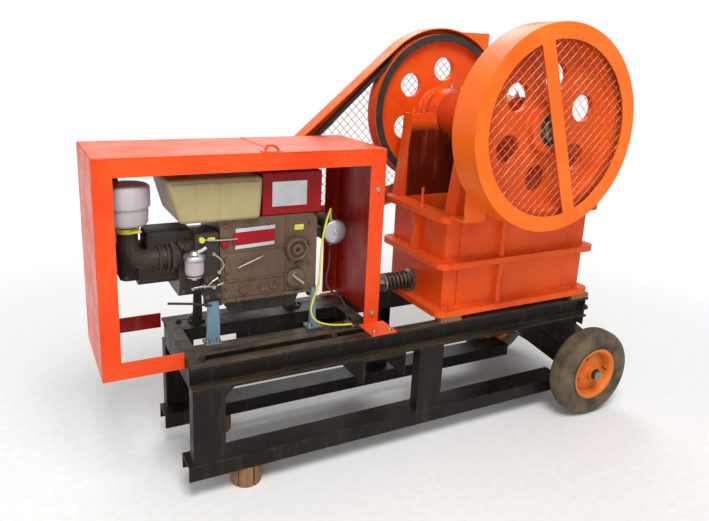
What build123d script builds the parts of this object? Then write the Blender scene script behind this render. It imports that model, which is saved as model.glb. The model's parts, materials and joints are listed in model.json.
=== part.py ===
"""Wheeled jaw crusher driven by a one-cylinder diesel engine.

The machine stands along X: the engine end is at -X, the jaw and the wheels at +X.
The round flywheel guard is on the -Y side, the belt guard on the +Y side, and the
ground is z = 0. All sizes are in millimetres.
"""
from build123d import *
from math import asin, atan2, cos, hypot, pi, radians, sin, tan
import os

os.makedirs("parts", exist_ok=True)

# Regular polygons stand for the circles of large wheels and pipes, which keeps the mesh light.
ROUND_SIDES = 48
WHEEL_SIDES = 36
PIPE_SIDES = 16

# Frame
FRAME_LENGTH = 1825.0
FRAME_MARGIN = 2.0
RAIL_TOP_Z = 512.0
RAIL_HEIGHT = 93.0
RAIL_FLANGE = 50.0
RAIL_WEB = 6.0
RAIL_FLANGE_THICKNESS = 9.0
LEG_WIDTH = 114.0
LEG_FLANGE = 50.0
MID_LEG_X = 918.0
GUSSET = 34.0
SKID_BOTTOM_Z = 80.0
SKID_HEIGHT = 57.0
SKID_WIDTH = 104.0
SKID_OVERHANG = 17.0
SKID_END_GAP = 60.0
CROSS_BEAM_X = 660.0
CROSS_BEAM_LENGTH = 190.0
CROSS_BEAM_HEIGHT = 100.0
SUB_RAIL_X = 292.0
SUB_RAIL_HEIGHT = 83.0
BEARER_NEAR_INSET = 133.0
BEARER_FAR_INSET = 100.0
BEARER_WIDTH = 90.0
BEARER_END_X = 700.0
BLOCK_X = 206.0
BLOCK_DIAMETER = 116.0

# Running gear
WHEEL_X = 1781.0
TYRE_RADIUS = 200.0
TYRE_WIDTH = 100.0
RIM_RADIUS = 119.0
BEAD_RADIUS = 104.0
RIM_SHEET = 5.0
WHEEL_FACE_Y = 378.0
AXLE_DIAMETER = 40.0
AXLE_OVERHANG = 12.0
BEARING_GAP = 0.3
HUB_RADIUS = 32.0

# Jaw body
SHAFT_X = 1300.0
SHAFT_Z = 1310.0
SHAFT_DIAMETER = 90.0
SHAFT_STUB = 15.0
JAW_REAR_X = 1030.0
JAW_FRONT_X = 1785.0
JAW_FLANGE_OUT = 42.0
JAW_HALF_WIDTH = 194.0
JAW_WALL = 30.0
JAW_BASE_Z = 534.0
JAW_FLANGE_THICKNESS = 26.0
JAW_LEVEL_A = 736.0
JAW_LEVEL_B = 926.0
JAW_TOP_Z = 1097.0
JAW_TOP_THICKNESS = 35.0
JAW_CORNER = 55.0
SIDE_RIB_X = 1301.0
RIB_THICKNESS = 22.0
EDGE_RIB = 40.0
PANEL_STEP = 5.0
PANEL_START_X = 1100.0
PANEL_END_X = 1680.0
FRONT_RIB_Y = 92.0

# Crushing chamber
CHEEK_THICKNESS = 20.0
FIT_GAP = 0.5
FIXED_PLATE_THICKNESS = 45.0
GAPE = 150.0
DISCHARGE_GAP = 32.0
TOOTH_PITCH = 36.0
TOOTH_DEPTH = 14.0
PITMAN_RADIUS = 105.0
PITMAN_HALF_WIDTH = 128.0

# Flywheels
FLYWHEEL_RADIUS = 340.0
FLYWHEEL_RIM = 34.0
FLYWHEEL_WEB = 24.0
NEAR_FLYWHEEL_Y = -378.0
NEAR_FLYWHEEL_WIDTH = 90.0
FAR_FLYWHEEL_Y = 327.0
FAR_FLYWHEEL_WIDTH = 78.0
HOLE_DIAMETER = 105.0
HOLE_CIRCLE = 188.0
HOLE_ANGLE = 23.0
BELT_PITCH = 17.0
BELT_COUNT = 3
GROOVE_DEPTH = 12.0

# Engine pulley and flywheel
CRANK_X = 405.0
CRANK_Z = 842.0
PULLEY_RADIUS = 78.0
ENGINE_FLYWHEEL_RADIUS = 235.0
ENGINE_FLYWHEEL_Y = 206.0
ENGINE_FLYWHEEL_WIDTH = 56.0
CRANK_DIAMETER = 50.0

# Guards
ROUND_GUARD_RADIUS = 380.0
ROUND_GUARD_RING = 59.0
ROUND_GUARD_FACE_Y = -457.0
ROUND_GUARD_DEPTH = 132.0
BELT_GUARD_RADIUS = 365.0
BELT_GUARD_RING = 60.0
BELT_GUARD_FACE_Y = 381.0
BELT_GUARD_DEPTH = 80.0
BELT_GUARD_BACK = 122.0
BELT_GUARD_DROP = 38.0
BELT_GUARD_END_RADIUS = 82.0
SHEET = 5.0
GUARD_BAR = 58.0
MESH_WIRE = 5.0
LATTICE_PITCH = 102.0
MESH_EDGE = 20.0

# Engine box
BOX_START_X = -269.0
BOX_END_X = 770.0
BOX_NEAR_Y = -134.0
BOX_FAR_Y = 255.0
BOX_TOP_Z = 1212.0
BOX_BOTTOM_Z = 466.0
BOX_ANGLE = 60.0
BOX_SHEET = 3.0

# Discharge chute
CHUTE_TIP_X = 1985.0
CHUTE_TIP_Z = 177.0
CHUTE_SLOPE = radians(36.7)
CHUTE_START_X = 1600.0
CHUTE_WALL = 6.0
CHUTE_WALL_HEIGHT = 88.0
APRON_HEIGHT = 138.0
APRON_HALF_WIDTH = 220.0

# Stations are measured from the engine end of the top rails and from the middle plane of
# the frame. The origin is at the middle of the whole machine's length and width.
RAIL_END_X = -(BOX_START_X - BOX_SHEET + CHUTE_TIP_X) / 2
MID_Y = -(ROUND_GUARD_FACE_Y + WHEEL_FACE_Y + AXLE_OVERHANG) / 2


def x_at(distance):
    """Gives the place of a station measured from the engine end of the top rails."""
    return RAIL_END_X + distance


def y_at(distance):
    """Gives the place of a distance from the middle plane of the frame."""
    return MID_Y + distance


RAIL_BOTTOM_Z = RAIL_TOP_Z - RAIL_HEIGHT
SKID_TOP_Z = SKID_BOTTOM_Z + SKID_HEIGHT
HALF_FRAME = JAW_HALF_WIDTH + JAW_FLANGE_OUT + FRAME_MARGIN
FRAME_WIDTH = 2 * HALF_FRAME
BEARER_NEAR_Y = BEARER_NEAR_INSET - HALF_FRAME
BEARER_FAR_Y = HALF_FRAME - BEARER_FAR_INSET
BELT_GUARD_END_X = CRANK_X - BELT_GUARD_BACK
BELT_GUARD_END_Z = CRANK_Z - BELT_GUARD_DROP


def flat_sided(rings, split=False):
    """Joins rings of corners with flat faces, which are split in two where a face would be twisted."""
    faces = [Face(Wire.make_polygon(rings[0])), Face(Wire.make_polygon(rings[-1]))]
    for low, high in zip(rings, rings[1:]):
        for corner in range(len(low)):
            first, second, third, fourth = low[corner - 1], low[corner], high[corner], high[corner - 1]
            if split:
                faces.append(Face(Wire.make_polygon([first, second, third])))
                faces.append(Face(Wire.make_polygon([first, third, fourth])))
            else:
                faces.append(Face(Wire.make_polygon([first, second, third, fourth])))
    return Solid(Shell(faces))


def turned(stations, centre_x, centre_z, sides):
    """Stacks regular polygons along Y, as a lathe would leave them, from (place, radius) pairs."""
    turns = [2 * pi * corner / sides for corner in range(sides)]
    rings = []
    for place, radius in stations:
        ring = [Vector(centre_x + radius * cos(turn), place, centre_z + radius * sin(turn)) for turn in turns]
        rings.append(ring)
    return flat_sided(rings)


def bent_pipe(route, bend, radius):
    """Sweeps a pipe of few sides along a route with one bend radius."""
    with BuildPart() as pipe:
        with BuildLine() as path:
            FilletPolyline(*route, radius=bend)
        with BuildSketch(Plane(origin=path.line @ 0, z_dir=path.line % 0)):
            RegularPolygon(radius, PIPE_SIDES)
        sweep()
    return pipe.part


def channel(height, flange, web, flange_thickness):
    """Draws a channel with its web on the left and its flanges pointing to +X."""
    with BuildSketch() as profile:
        Rectangle(flange, height, align=(Align.MIN, Align.CENTER))
        with Locations((web, 0)):
            Rectangle(
                flange,
                height - 2 * flange_thickness,
                align=(Align.MIN, Align.CENTER),
                mode=Mode.SUBTRACT,
            )
    return profile.sketch


RAIL_PROFILE = channel(RAIL_HEIGHT, RAIL_FLANGE, RAIL_WEB, RAIL_FLANGE_THICKNESS)


# Top rails: channels with the open side outward
def top_rail_plane(side):
    inner_y = y_at(side * (HALF_FRAME - RAIL_FLANGE))
    return Plane(
        origin=(RAIL_END_X, inner_y, RAIL_TOP_Z - RAIL_HEIGHT / 2),
        x_dir=(0, side, 0),
        z_dir=(side, 0, 0),
    )


def rail_solid(side):
    with BuildPart() as rail:
        with BuildSketch(top_rail_plane(side)):
            add(RAIL_PROFILE)
        extrude(amount=side * FRAME_LENGTH)
    return rail.part


with BuildPart() as top_rails:
    for side in (-1, 1):
        add(rail_solid(side))
top_rails.part.label = "top_rails"
export_step(top_rails.part, "parts/top_rails.step")

# Cross members between the webs of the rails
INNER_HALF = HALF_FRAME - RAIL_FLANGE

with BuildPart() as cross_members:
    for station in (0, BEARER_END_X):
        with BuildSketch(Plane.XZ.offset(-y_at(-INNER_HALF))):
            with Locations((x_at(station), RAIL_TOP_Z - RAIL_HEIGHT / 2)):
                Rectangle(RAIL_FLANGE, RAIL_HEIGHT, align=(Align.MIN, Align.CENTER))
            with Locations((x_at(station + RAIL_WEB), RAIL_TOP_Z - RAIL_HEIGHT / 2)):
                Rectangle(
                    RAIL_FLANGE,
                    RAIL_HEIGHT - 2 * RAIL_FLANGE_THICKNESS,
                    align=(Align.MIN, Align.CENTER),
                    mode=Mode.SUBTRACT,
                )
        extrude(amount=-2 * INNER_HALF)
cross_members.part.label = "cross_members"
export_step(cross_members.part, "parts/cross_members.step")

# Engine bearers: two channels laid flat between the cross members
with BuildPart() as engine_bearers:
    for bearer_y in (BEARER_NEAR_Y, BEARER_FAR_Y):
        with BuildSketch(Plane.YZ.offset(x_at(RAIL_FLANGE))):
            with Locations((y_at(bearer_y), RAIL_TOP_Z)):
                Rectangle(BEARER_WIDTH, RAIL_FLANGE, align=(Align.CENTER, Align.MAX))
            with Locations((y_at(bearer_y), RAIL_TOP_Z - RAIL_WEB)):
                Rectangle(
                    BEARER_WIDTH - 2 * RAIL_FLANGE_THICKNESS,
                    RAIL_FLANGE,
                    align=(Align.CENTER, Align.MAX),
                    mode=Mode.SUBTRACT,
                )
        extrude(amount=BEARER_END_X - RAIL_FLANGE)
engine_bearers.part.label = "engine_bearers"
export_step(engine_bearers.part, "parts/engine_bearers.step")

# Cross beam hung under both rails, and the short rail that runs from it on the far side
with BuildPart() as under_beam:
    with BuildSketch(Plane.XY.offset(RAIL_BOTTOM_Z)):
        with Locations((x_at(CROSS_BEAM_X), MID_Y)):
            Rectangle(CROSS_BEAM_LENGTH, FRAME_WIDTH, align=(Align.MIN, Align.CENTER))
    extrude(amount=-CROSS_BEAM_HEIGHT)
    with BuildSketch(Plane.XY.offset(RAIL_BOTTOM_Z - CROSS_BEAM_HEIGHT)):
        with Locations((x_at(CROSS_BEAM_X + RAIL_WEB), MID_Y)):
            Rectangle(
                CROSS_BEAM_LENGTH - 2 * RAIL_WEB,
                FRAME_WIDTH + 2,
                align=(Align.MIN, Align.CENTER),
            )
    extrude(amount=CROSS_BEAM_HEIGHT - RAIL_FLANGE_THICKNESS, mode=Mode.SUBTRACT)
    with BuildSketch(Plane.YZ.offset(x_at(SUB_RAIL_X))):
        with Locations((y_at(HALF_FRAME - RAIL_FLANGE), RAIL_BOTTOM_Z)):
            Rectangle(RAIL_FLANGE, SUB_RAIL_HEIGHT, align=(Align.MIN, Align.MAX))
        with Locations((y_at(HALF_FRAME - RAIL_FLANGE + RAIL_WEB), RAIL_BOTTOM_Z - RAIL_WEB)):
            Rectangle(
                RAIL_FLANGE,
                SUB_RAIL_HEIGHT - 2 * RAIL_WEB,
                align=(Align.MIN, Align.MAX),
                mode=Mode.SUBTRACT,
            )
    extrude(amount=CROSS_BEAM_X - SUB_RAIL_X)
under_beam.part.label = "under_beam"
export_step(under_beam.part, "parts/under_beam.step")


# Skids: channels laid flat, and the legs that stand on them with their corner gussets
def skid_centre_y(side):
    return y_at(side * (HALF_FRAME - SKID_WIDTH / 2))


SKID_LENGTH = WHEEL_X - SKID_END_GAP + SKID_OVERHANG

with BuildPart() as skids:
    for side in (-1, 1):
        with BuildSketch(Plane.YZ.offset(x_at(-SKID_OVERHANG))):
            with Locations((skid_centre_y(side), SKID_TOP_Z)):
                Rectangle(SKID_WIDTH, SKID_HEIGHT, align=(Align.CENTER, Align.MAX))
            with Locations((skid_centre_y(side), SKID_TOP_Z - RAIL_WEB)):
                Rectangle(
                    SKID_WIDTH - 2 * RAIL_FLANGE_THICKNESS,
                    SKID_HEIGHT,
                    align=(Align.CENTER, Align.MAX),
                    mode=Mode.SUBTRACT,
                )
        extrude(amount=SKID_LENGTH)
skids.part.label = "skids"
export_step(skids.part, "parts/skids.step")

with BuildPart() as legs:
    for side in (-1, 1):
        for station in (0, MID_LEG_X):
            with BuildSketch(Plane.XY.offset(SKID_TOP_Z)):
                with Locations((x_at(station), y_at(side * HALF_FRAME))):
                    Rectangle(
                        LEG_WIDTH,
                        LEG_FLANGE,
                        align=(Align.MIN, Align.MAX if side > 0 else Align.MIN),
                    )
                with Locations((x_at(station + RAIL_WEB), y_at(side * (HALF_FRAME - RAIL_WEB)))):
                    Rectangle(
                        LEG_WIDTH - 2 * RAIL_WEB,
                        LEG_FLANGE,
                        align=(Align.MIN, Align.MAX if side > 0 else Align.MIN),
                        mode=Mode.SUBTRACT,
                    )
            extrude(amount=RAIL_BOTTOM_Z - SKID_TOP_Z)
        with BuildSketch(Plane.XZ.offset(-y_at(side * (HALF_FRAME - RAIL_WEB / 2)))):
            with BuildLine():
                Polyline(
                    (x_at(LEG_WIDTH), RAIL_BOTTOM_Z),
                    (x_at(LEG_WIDTH + GUSSET), RAIL_BOTTOM_Z),
                    (x_at(LEG_WIDTH), RAIL_BOTTOM_Z - GUSSET),
                    close=True,
                )
            make_face()
        extrude(amount=RAIL_WEB / 2, both=True)
legs.part.label = "legs"
export_step(legs.part, "parts/legs.step")

# Round blocks that hold up the engine end
with BuildPart() as support_blocks:
    for side in (-1, 1):
        with BuildSketch(Plane.XY):
            with Locations((x_at(BLOCK_X), skid_centre_y(side))):
                RegularPolygon(BLOCK_DIAMETER / 2, PIPE_SIDES)
        extrude(amount=SKID_BOTTOM_Z)
support_blocks.part.label = "support_blocks"
export_step(support_blocks.part, "parts/support_blocks.step")

# Axle and the brackets that hang it from the rails
WHEEL_CENTRE_Y = WHEEL_FACE_Y - TYRE_WIDTH / 2
BRACKET_THICKNESS = 10.0

with BuildPart() as axle:
    with BuildSketch(Plane.XZ.offset(-y_at(-WHEEL_FACE_Y - AXLE_OVERHANG))):
        with Locations((x_at(WHEEL_X), TYRE_RADIUS)):
            Circle(AXLE_DIAMETER / 2)
    extrude(amount=-2 * (WHEEL_FACE_Y + AXLE_OVERHANG))
axle.part.label = "axle"
export_step(axle.part, "parts/axle.step")

with BuildPart() as axle_brackets:
    for side in (-1, 1):
        with BuildSketch(Plane.XZ.offset(-y_at(side * (HALF_FRAME - RAIL_FLANGE + RAIL_WEB)))):
            with BuildLine():
                Polyline(
                    (x_at(WHEEL_X - 330), RAIL_BOTTOM_Z),
                    (x_at(WHEEL_X + 40), RAIL_BOTTOM_Z),
                    (x_at(WHEEL_X + 36), TYRE_RADIUS - 30),
                    (x_at(WHEEL_X - 36), TYRE_RADIUS - 30),
                    (x_at(WHEEL_X - 290), RAIL_BOTTOM_Z - 60),
                    close=True,
                )
            make_face()
            with Locations((x_at(WHEEL_X), TYRE_RADIUS)):
                Circle(AXLE_DIAMETER / 2, mode=Mode.SUBTRACT)
        extrude(amount=side * BRACKET_THICKNESS)
axle_brackets.part.label = "axle_brackets"
export_step(axle_brackets.part, "parts/axle_brackets.step")


# Wheels: a pneumatic tyre on a dished rim with a hub
BEAD_HALF = TYRE_WIDTH / 2 - 13.0
LIP_HALF = TYRE_WIDTH / 2 - 8.0
DISH_OUT = TYRE_WIDTH / 2 - 14.0
DISH_IN = 12.0
DISH_FLAT_RADIUS = 45.0


def tyre_solid(side):
    """Turns a tyre from the bead over the shoulders to the tread and back."""
    centre_y = y_at(side * WHEEL_CENTRE_Y)
    half = TYRE_WIDTH / 2
    profile = (
        (BEAD_HALF - 4, BEAD_RADIUS - 4),
        (BEAD_HALF, BEAD_RADIUS + 18),
        (half, BEAD_RADIUS + 48),
        (half - 6, TYRE_RADIUS - 14),
        (half - 19, TYRE_RADIUS),
    )
    stations = [(centre_y - reach, radius) for reach, radius in profile]
    stations += [(centre_y + reach, radius) for reach, radius in reversed(profile)]
    with BuildPart() as tyre:
        add(turned(stations, x_at(WHEEL_X), TYRE_RADIUS, WHEEL_SIDES))
        with BuildSketch(Plane.XZ.offset(-centre_y)):
            with Locations((x_at(WHEEL_X), TYRE_RADIUS)):
                RegularPolygon(BEAD_RADIUS, WHEEL_SIDES)
        extrude(amount=half, both=True, mode=Mode.SUBTRACT)
    return tyre.part


def rim_ring(low_y, high_y, outer, inner):
    """Makes one flat-sided ring of a rim between two places along the axle."""
    with BuildPart() as ring:
        with BuildSketch(Plane.XZ.offset(-low_y)):
            with Locations((x_at(WHEEL_X), TYRE_RADIUS)):
                RegularPolygon(outer, WHEEL_SIDES)
                RegularPolygon(inner, WHEEL_SIDES, mode=Mode.SUBTRACT)
        extrude(amount=low_y - high_y)
    return ring.part


def rim_solid(side):
    """Makes a rim: a barrel with two lips, a dish that opens outward, and a bored hub."""
    centre_y = y_at(side * WHEEL_CENTRE_Y)
    inside = BEAD_RADIUS - RIM_SHEET
    with BuildPart() as rim:
        add(rim_ring(centre_y - LIP_HALF, centre_y + LIP_HALF, BEAD_RADIUS, inside))
        add(rim_ring(centre_y - LIP_HALF, centre_y - LIP_HALF + 4, RIM_RADIUS, inside))
        add(rim_ring(centre_y + LIP_HALF - 4, centre_y + LIP_HALF, RIM_RADIUS, inside))
        deep = centre_y + side * (DISH_IN - RIM_SHEET)
        wide = centre_y + side * (DISH_OUT - RIM_SHEET)
        dish = [(deep, DISH_FLAT_RADIUS), (wide, inside + 1)]
        add(turned(dish, x_at(WHEEL_X), TYRE_RADIUS, WHEEL_SIDES))
        hollow = [(place + side * RIM_SHEET, radius) for place, radius in dish]
        add(turned(hollow, x_at(WHEEL_X), TYRE_RADIUS, WHEEL_SIDES), mode=Mode.SUBTRACT)
        with BuildSketch(Plane.XZ.offset(-centre_y)):
            with Locations((x_at(WHEEL_X), TYRE_RADIUS)):
                Circle(HUB_RADIUS)
        extrude(amount=LIP_HALF, both=True)
        with BuildSketch(Plane.XZ.offset(-centre_y)):
            with Locations((x_at(WHEEL_X), TYRE_RADIUS)):
                Circle(AXLE_DIAMETER / 2 + BEARING_GAP)
        extrude(amount=TYRE_WIDTH, both=True, mode=Mode.SUBTRACT)
    return rim.part


with BuildPart() as tyre_near:
    add(tyre_solid(-1))
tyre_near.part.label = "tyre_near"
export_step(tyre_near.part, "parts/tyre_near.step")

with BuildPart() as tyre_far:
    add(tyre_solid(1))
tyre_far.part.label = "tyre_far"
export_step(tyre_far.part, "parts/tyre_far.step")

with BuildPart() as rim_near:
    add(rim_solid(-1))
rim_near.part.label = "rim_near"
export_step(rim_near.part, "parts/rim_near.step")

with BuildPart() as rim_far:
    add(rim_solid(1))
rim_far.part.label = "rim_far"
export_step(rim_far.part, "parts/rim_far.step")


# Jaw body: two side walls with flanges and ribs, a front and a rear wall
JAW_LEVELS = (JAW_BASE_Z, JAW_LEVEL_A, JAW_LEVEL_B)
BASE_PAD_THICKNESS = JAW_BASE_Z - RAIL_TOP_Z
CHAMBER_HALF = JAW_HALF_WIDTH - JAW_WALL
SEAT_HALF_LENGTH = 230.0
SEAT_Z = SHAFT_Z - 70.0
HOUSING_RADIUS = 104.0
HOUSING_OUT = JAW_FLANGE_OUT
TOP_SHELF_X = 1560.0
WEB_DEPTH = JAW_FLANGE_OUT - 6.0
WEB_HOLLOW = 0.7


def web_outline(foot, reach, low, high):
    """Draws a web between two flanges, hollowed along its free edge. The reach has a sign."""
    with BuildSketch() as outline:
        with BuildLine():
            Polyline((foot, high), (foot, low), (foot + reach, low))
            ThreePointArc(
                (foot + reach, low),
                (foot + reach * WEB_HOLLOW, (low + high) / 2),
                (foot + reach, high),
            )
            Line((foot + reach, high), (foot, high))
        make_face()
    return outline.sketch


def edge_rib(corners):
    """Draws a rib that is EDGE_RIB wide inside a line of corners, which runs upward."""
    inward = EDGE_RIB if corners[0][0] < SHAFT_X else -EDGE_RIB
    with BuildSketch() as outline:
        with BuildLine():
            Polyline(
                *[(x_at(x), z) for x, z in corners],
                *[(x_at(x + inward), z) for x, z in reversed(corners)],
                close=True,
            )
        make_face()
    return outline.sketch


REAR_EDGE = ((JAW_REAR_X, JAW_LEVEL_B), (SHAFT_X - SEAT_HALF_LENGTH, SEAT_Z))
FRONT_EDGE = (
    (TOP_SHELF_X, JAW_LEVEL_B),
    (TOP_SHELF_X, JAW_TOP_Z),
    (SHAFT_X + SEAT_HALF_LENGTH, SEAT_Z),
)


def side_wall(side):
    """Makes one side wall with its outer flanges, the ribs between them and the raised panels."""
    inner_y = y_at(side * CHAMBER_HALF)
    outer_y = y_at(side * JAW_HALF_WIDTH)
    with BuildPart() as wall:
        with BuildSketch(Plane.XZ.offset(-inner_y)):
            with BuildLine():
                Polyline(
                    (x_at(JAW_REAR_X), JAW_BASE_Z),
                    (x_at(JAW_FRONT_X), JAW_BASE_Z),
                    (x_at(JAW_FRONT_X), JAW_TOP_Z),
                    *[(x_at(x), z) for x, z in FRONT_EDGE[1:]],
                    *[(x_at(x), z) for x, z in reversed(REAR_EDGE)],
                    close=True,
                )
            make_face()
            with Locations((x_at(SHAFT_X), SHAFT_Z)):
                RegularPolygon(HOUSING_RADIUS, ROUND_SIDES, mode=Mode.SUBTRACT)
        extrude(amount=-side * JAW_WALL)
        with BuildSketch(Plane.XZ.offset(-outer_y)):
            with BuildLine():
                Polyline(
                    (x_at(PANEL_START_X), JAW_BASE_Z),
                    (x_at(PANEL_END_X), JAW_BASE_Z),
                    (x_at(PANEL_END_X), JAW_LEVEL_B),
                    (x_at(PANEL_START_X), JAW_LEVEL_B),
                    close=True,
                )
            make_face()
        extrude(amount=-side * PANEL_STEP)
        for level in JAW_LEVELS:
            with BuildSketch(Plane.XY.offset(level)):
                with Locations((x_at(JAW_REAR_X), outer_y)):
                    Rectangle(
                        JAW_FRONT_X - JAW_REAR_X,
                        JAW_FLANGE_OUT,
                        align=(Align.MIN, Align.MIN if side > 0 else Align.MAX),
                    )
            extrude(amount=JAW_FLANGE_THICKNESS)
        for low, high in zip(JAW_LEVELS, JAW_LEVELS[1:]):
            with BuildSketch(Plane.YZ.offset(x_at(SIDE_RIB_X))):
                add(web_outline(outer_y, side * WEB_DEPTH, low, high))
            extrude(amount=RIB_THICKNESS / 2, both=True)
        for corners in (REAR_EDGE, FRONT_EDGE):
            with BuildSketch(Plane.XZ.offset(-outer_y)):
                add(edge_rib(corners))
            extrude(amount=-side * JAW_FLANGE_OUT)
    return wall.part


def flange_end(level, end_x, direction):
    """Draws the strip of a flange that runs across one end, with round corners."""
    with BuildSketch(Plane.XY.offset(level)) as strip:
        with Locations((end_x, MID_Y)):
            Rectangle(
                JAW_FLANGE_OUT,
                2 * (JAW_HALF_WIDTH + JAW_FLANGE_OUT),
                align=(Align.MIN if direction > 0 else Align.MAX, Align.CENTER),
            )
        outer_corners = strip.vertices().group_by(Axis.X)[-1 if direction > 0 else 0]
        chamfer(outer_corners, JAW_FLANGE_OUT / 2)
    return strip.sketch


with BuildPart() as jaw_side_near:
    add(side_wall(-1))
jaw_side_near.part.label = "jaw_side_near"
export_step(jaw_side_near.part, "parts/jaw_side_near.step")

with BuildPart() as jaw_side_far:
    add(side_wall(1))
jaw_side_far.part.label = "jaw_side_far"
export_step(jaw_side_far.part, "parts/jaw_side_far.step")


with BuildPart() as jaw_front_wall:
    with BuildSketch(Plane.XY.offset(JAW_BASE_Z)):
        with Locations((x_at(JAW_FRONT_X), MID_Y)):
            Rectangle(JAW_WALL, 2 * CHAMBER_HALF, align=(Align.MAX, Align.CENTER))
    extrude(amount=JAW_TOP_Z - JAW_BASE_Z)
    for level in JAW_LEVELS:
        add(flange_end(level, x_at(JAW_FRONT_X), 1))
        extrude(amount=JAW_FLANGE_THICKNESS)
    for low, high in zip(JAW_LEVELS, (JAW_LEVEL_A, JAW_LEVEL_B, JAW_TOP_Z)):
        for rib_y in (-FRONT_RIB_Y, FRONT_RIB_Y):
            with BuildSketch(Plane.XZ.offset(-y_at(rib_y))):
                add(web_outline(x_at(JAW_FRONT_X), WEB_DEPTH, low, high))
            extrude(amount=RIB_THICKNESS / 2, both=True)
jaw_front_wall.part.label = "jaw_front_wall"
export_step(jaw_front_wall.part, "parts/jaw_front_wall.step")

# The rear wall has a slot that the tension rod passes through
ROD_Z = 614.0
ROD_Y = 34.0
ROD_DIAMETER = 22.0
ROD_SLOT_LENGTH = 84.0
ROD_SLOT_WIDTH = 36.0

with BuildPart() as jaw_rear_wall:
    with BuildSketch(Plane.XY.offset(JAW_BASE_Z)):
        with Locations((x_at(JAW_REAR_X), MID_Y)):
            Rectangle(JAW_WALL, 2 * CHAMBER_HALF, align=(Align.MIN, Align.CENTER))
    extrude(amount=JAW_LEVEL_B + JAW_FLANGE_THICKNESS - JAW_BASE_Z)
    for level in JAW_LEVELS:
        add(flange_end(level, x_at(JAW_REAR_X), -1))
        extrude(amount=JAW_FLANGE_THICKNESS)
    with BuildSketch(Plane.XZ.offset(-MID_Y)):
        add(web_outline(x_at(JAW_REAR_X), -WEB_DEPTH, JAW_LEVEL_A, JAW_LEVEL_B))
    extrude(amount=RIB_THICKNESS / 2, both=True)
    with BuildSketch(Plane.YZ.offset(x_at(JAW_REAR_X))):
        with Locations((y_at(ROD_Y), ROD_Z)):
            SlotOverall(ROD_SLOT_LENGTH, ROD_SLOT_WIDTH, rotation=90)
    extrude(amount=JAW_WALL, mode=Mode.SUBTRACT)
jaw_rear_wall.part.label = "jaw_rear_wall"
export_step(jaw_rear_wall.part, "parts/jaw_rear_wall.step")

# Packing pads between the rails and the base flange
PAD_LENGTH = 100.0
PAD_WIDTH = 44.0
PAD_INSET = 4.0

with BuildPart() as base_pads:
    for side in (-1, 1):
        for station in (JAW_REAR_X - 20, JAW_FRONT_X - 60):
            with BuildSketch(Plane.XY.offset(RAIL_TOP_Z)):
                with Locations((x_at(station), y_at(side * (HALF_FRAME - PAD_INSET)))):
                    Rectangle(
                        PAD_LENGTH,
                        PAD_WIDTH,
                        align=(Align.MIN, Align.MAX if side > 0 else Align.MIN),
                    )
            extrude(amount=BASE_PAD_THICKNESS)
base_pads.part.label = "base_pads"
export_step(base_pads.part, "parts/base_pads.step")

# Top plate: a shelf with a straight inner edge behind the fixed jaw plate
with BuildPart() as top_plate:
    with BuildSketch(Plane.XY.offset(JAW_TOP_Z)):
        with Locations((x_at(JAW_FRONT_X + JAW_FLANGE_OUT), MID_Y)):
            Rectangle(
                JAW_FRONT_X + JAW_FLANGE_OUT - TOP_SHELF_X,
                2 * (JAW_HALF_WIDTH + JAW_FLANGE_OUT),
                align=(Align.MAX, Align.CENTER),
            )
        fillet(vertices().group_by(Axis.X)[-1], JAW_CORNER)
        with Locations((x_at(JAW_FRONT_X - JAW_WALL), MID_Y)):
            Rectangle(
                JAW_FRONT_X - JAW_WALL - TOP_SHELF_X,
                2 * CHAMBER_HALF,
                align=(Align.MAX, Align.CENTER),
                mode=Mode.SUBTRACT,
            )
    extrude(amount=JAW_TOP_THICKNESS)
top_plate.part.label = "top_plate"
export_step(top_plate.part, "parts/top_plate.step")


# Bearing housings: a round body in the side wall and two ears that lie on its seat
def housing_solid(side):
    with BuildPart() as housing:
        with BuildSketch(Plane.XZ.offset(-y_at(side * CHAMBER_HALF))):
            with Locations((x_at(SHAFT_X), SHAFT_Z)):
                RegularPolygon(HOUSING_RADIUS, ROUND_SIDES)
            with Locations((x_at(SHAFT_X), SEAT_Z)):
                Rectangle(
                    2 * SEAT_HALF_LENGTH,
                    SHAFT_Z - SEAT_Z,
                    align=(Align.CENTER, Align.MIN),
                )
            with Locations((x_at(SHAFT_X), SHAFT_Z)):
                Circle(SHAFT_DIAMETER / 2 + BEARING_GAP, mode=Mode.SUBTRACT)
        extrude(amount=-side * (JAW_WALL + HOUSING_OUT))
    return housing.part


with BuildPart() as bearing_housings:
    for side in (-1, 1):
        add(housing_solid(side))
bearing_housings.part.label = "bearing_housings"
export_step(bearing_housings.part, "parts/bearing_housings.step")

# Cheek plates line the side walls of the chamber and stand above the top plate
CHEEK_TOP_Z = 1285.0
CHEEK_CLEARANCE = 15.0
CHEEK_FRONT_X = JAW_FRONT_X - JAW_WALL - CHEEK_CLEARANCE
CHEEK_BACK_X = CHEEK_FRONT_X - 210.0
CHEEK_BOTTOM_BACK_X = CHEEK_BACK_X + 70.0
CHEEK_CHAMFER = 60.0
CHEEK_SLOT_LENGTH = 110.0
CHEEK_SLOT_HEIGHT = 36.0

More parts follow.
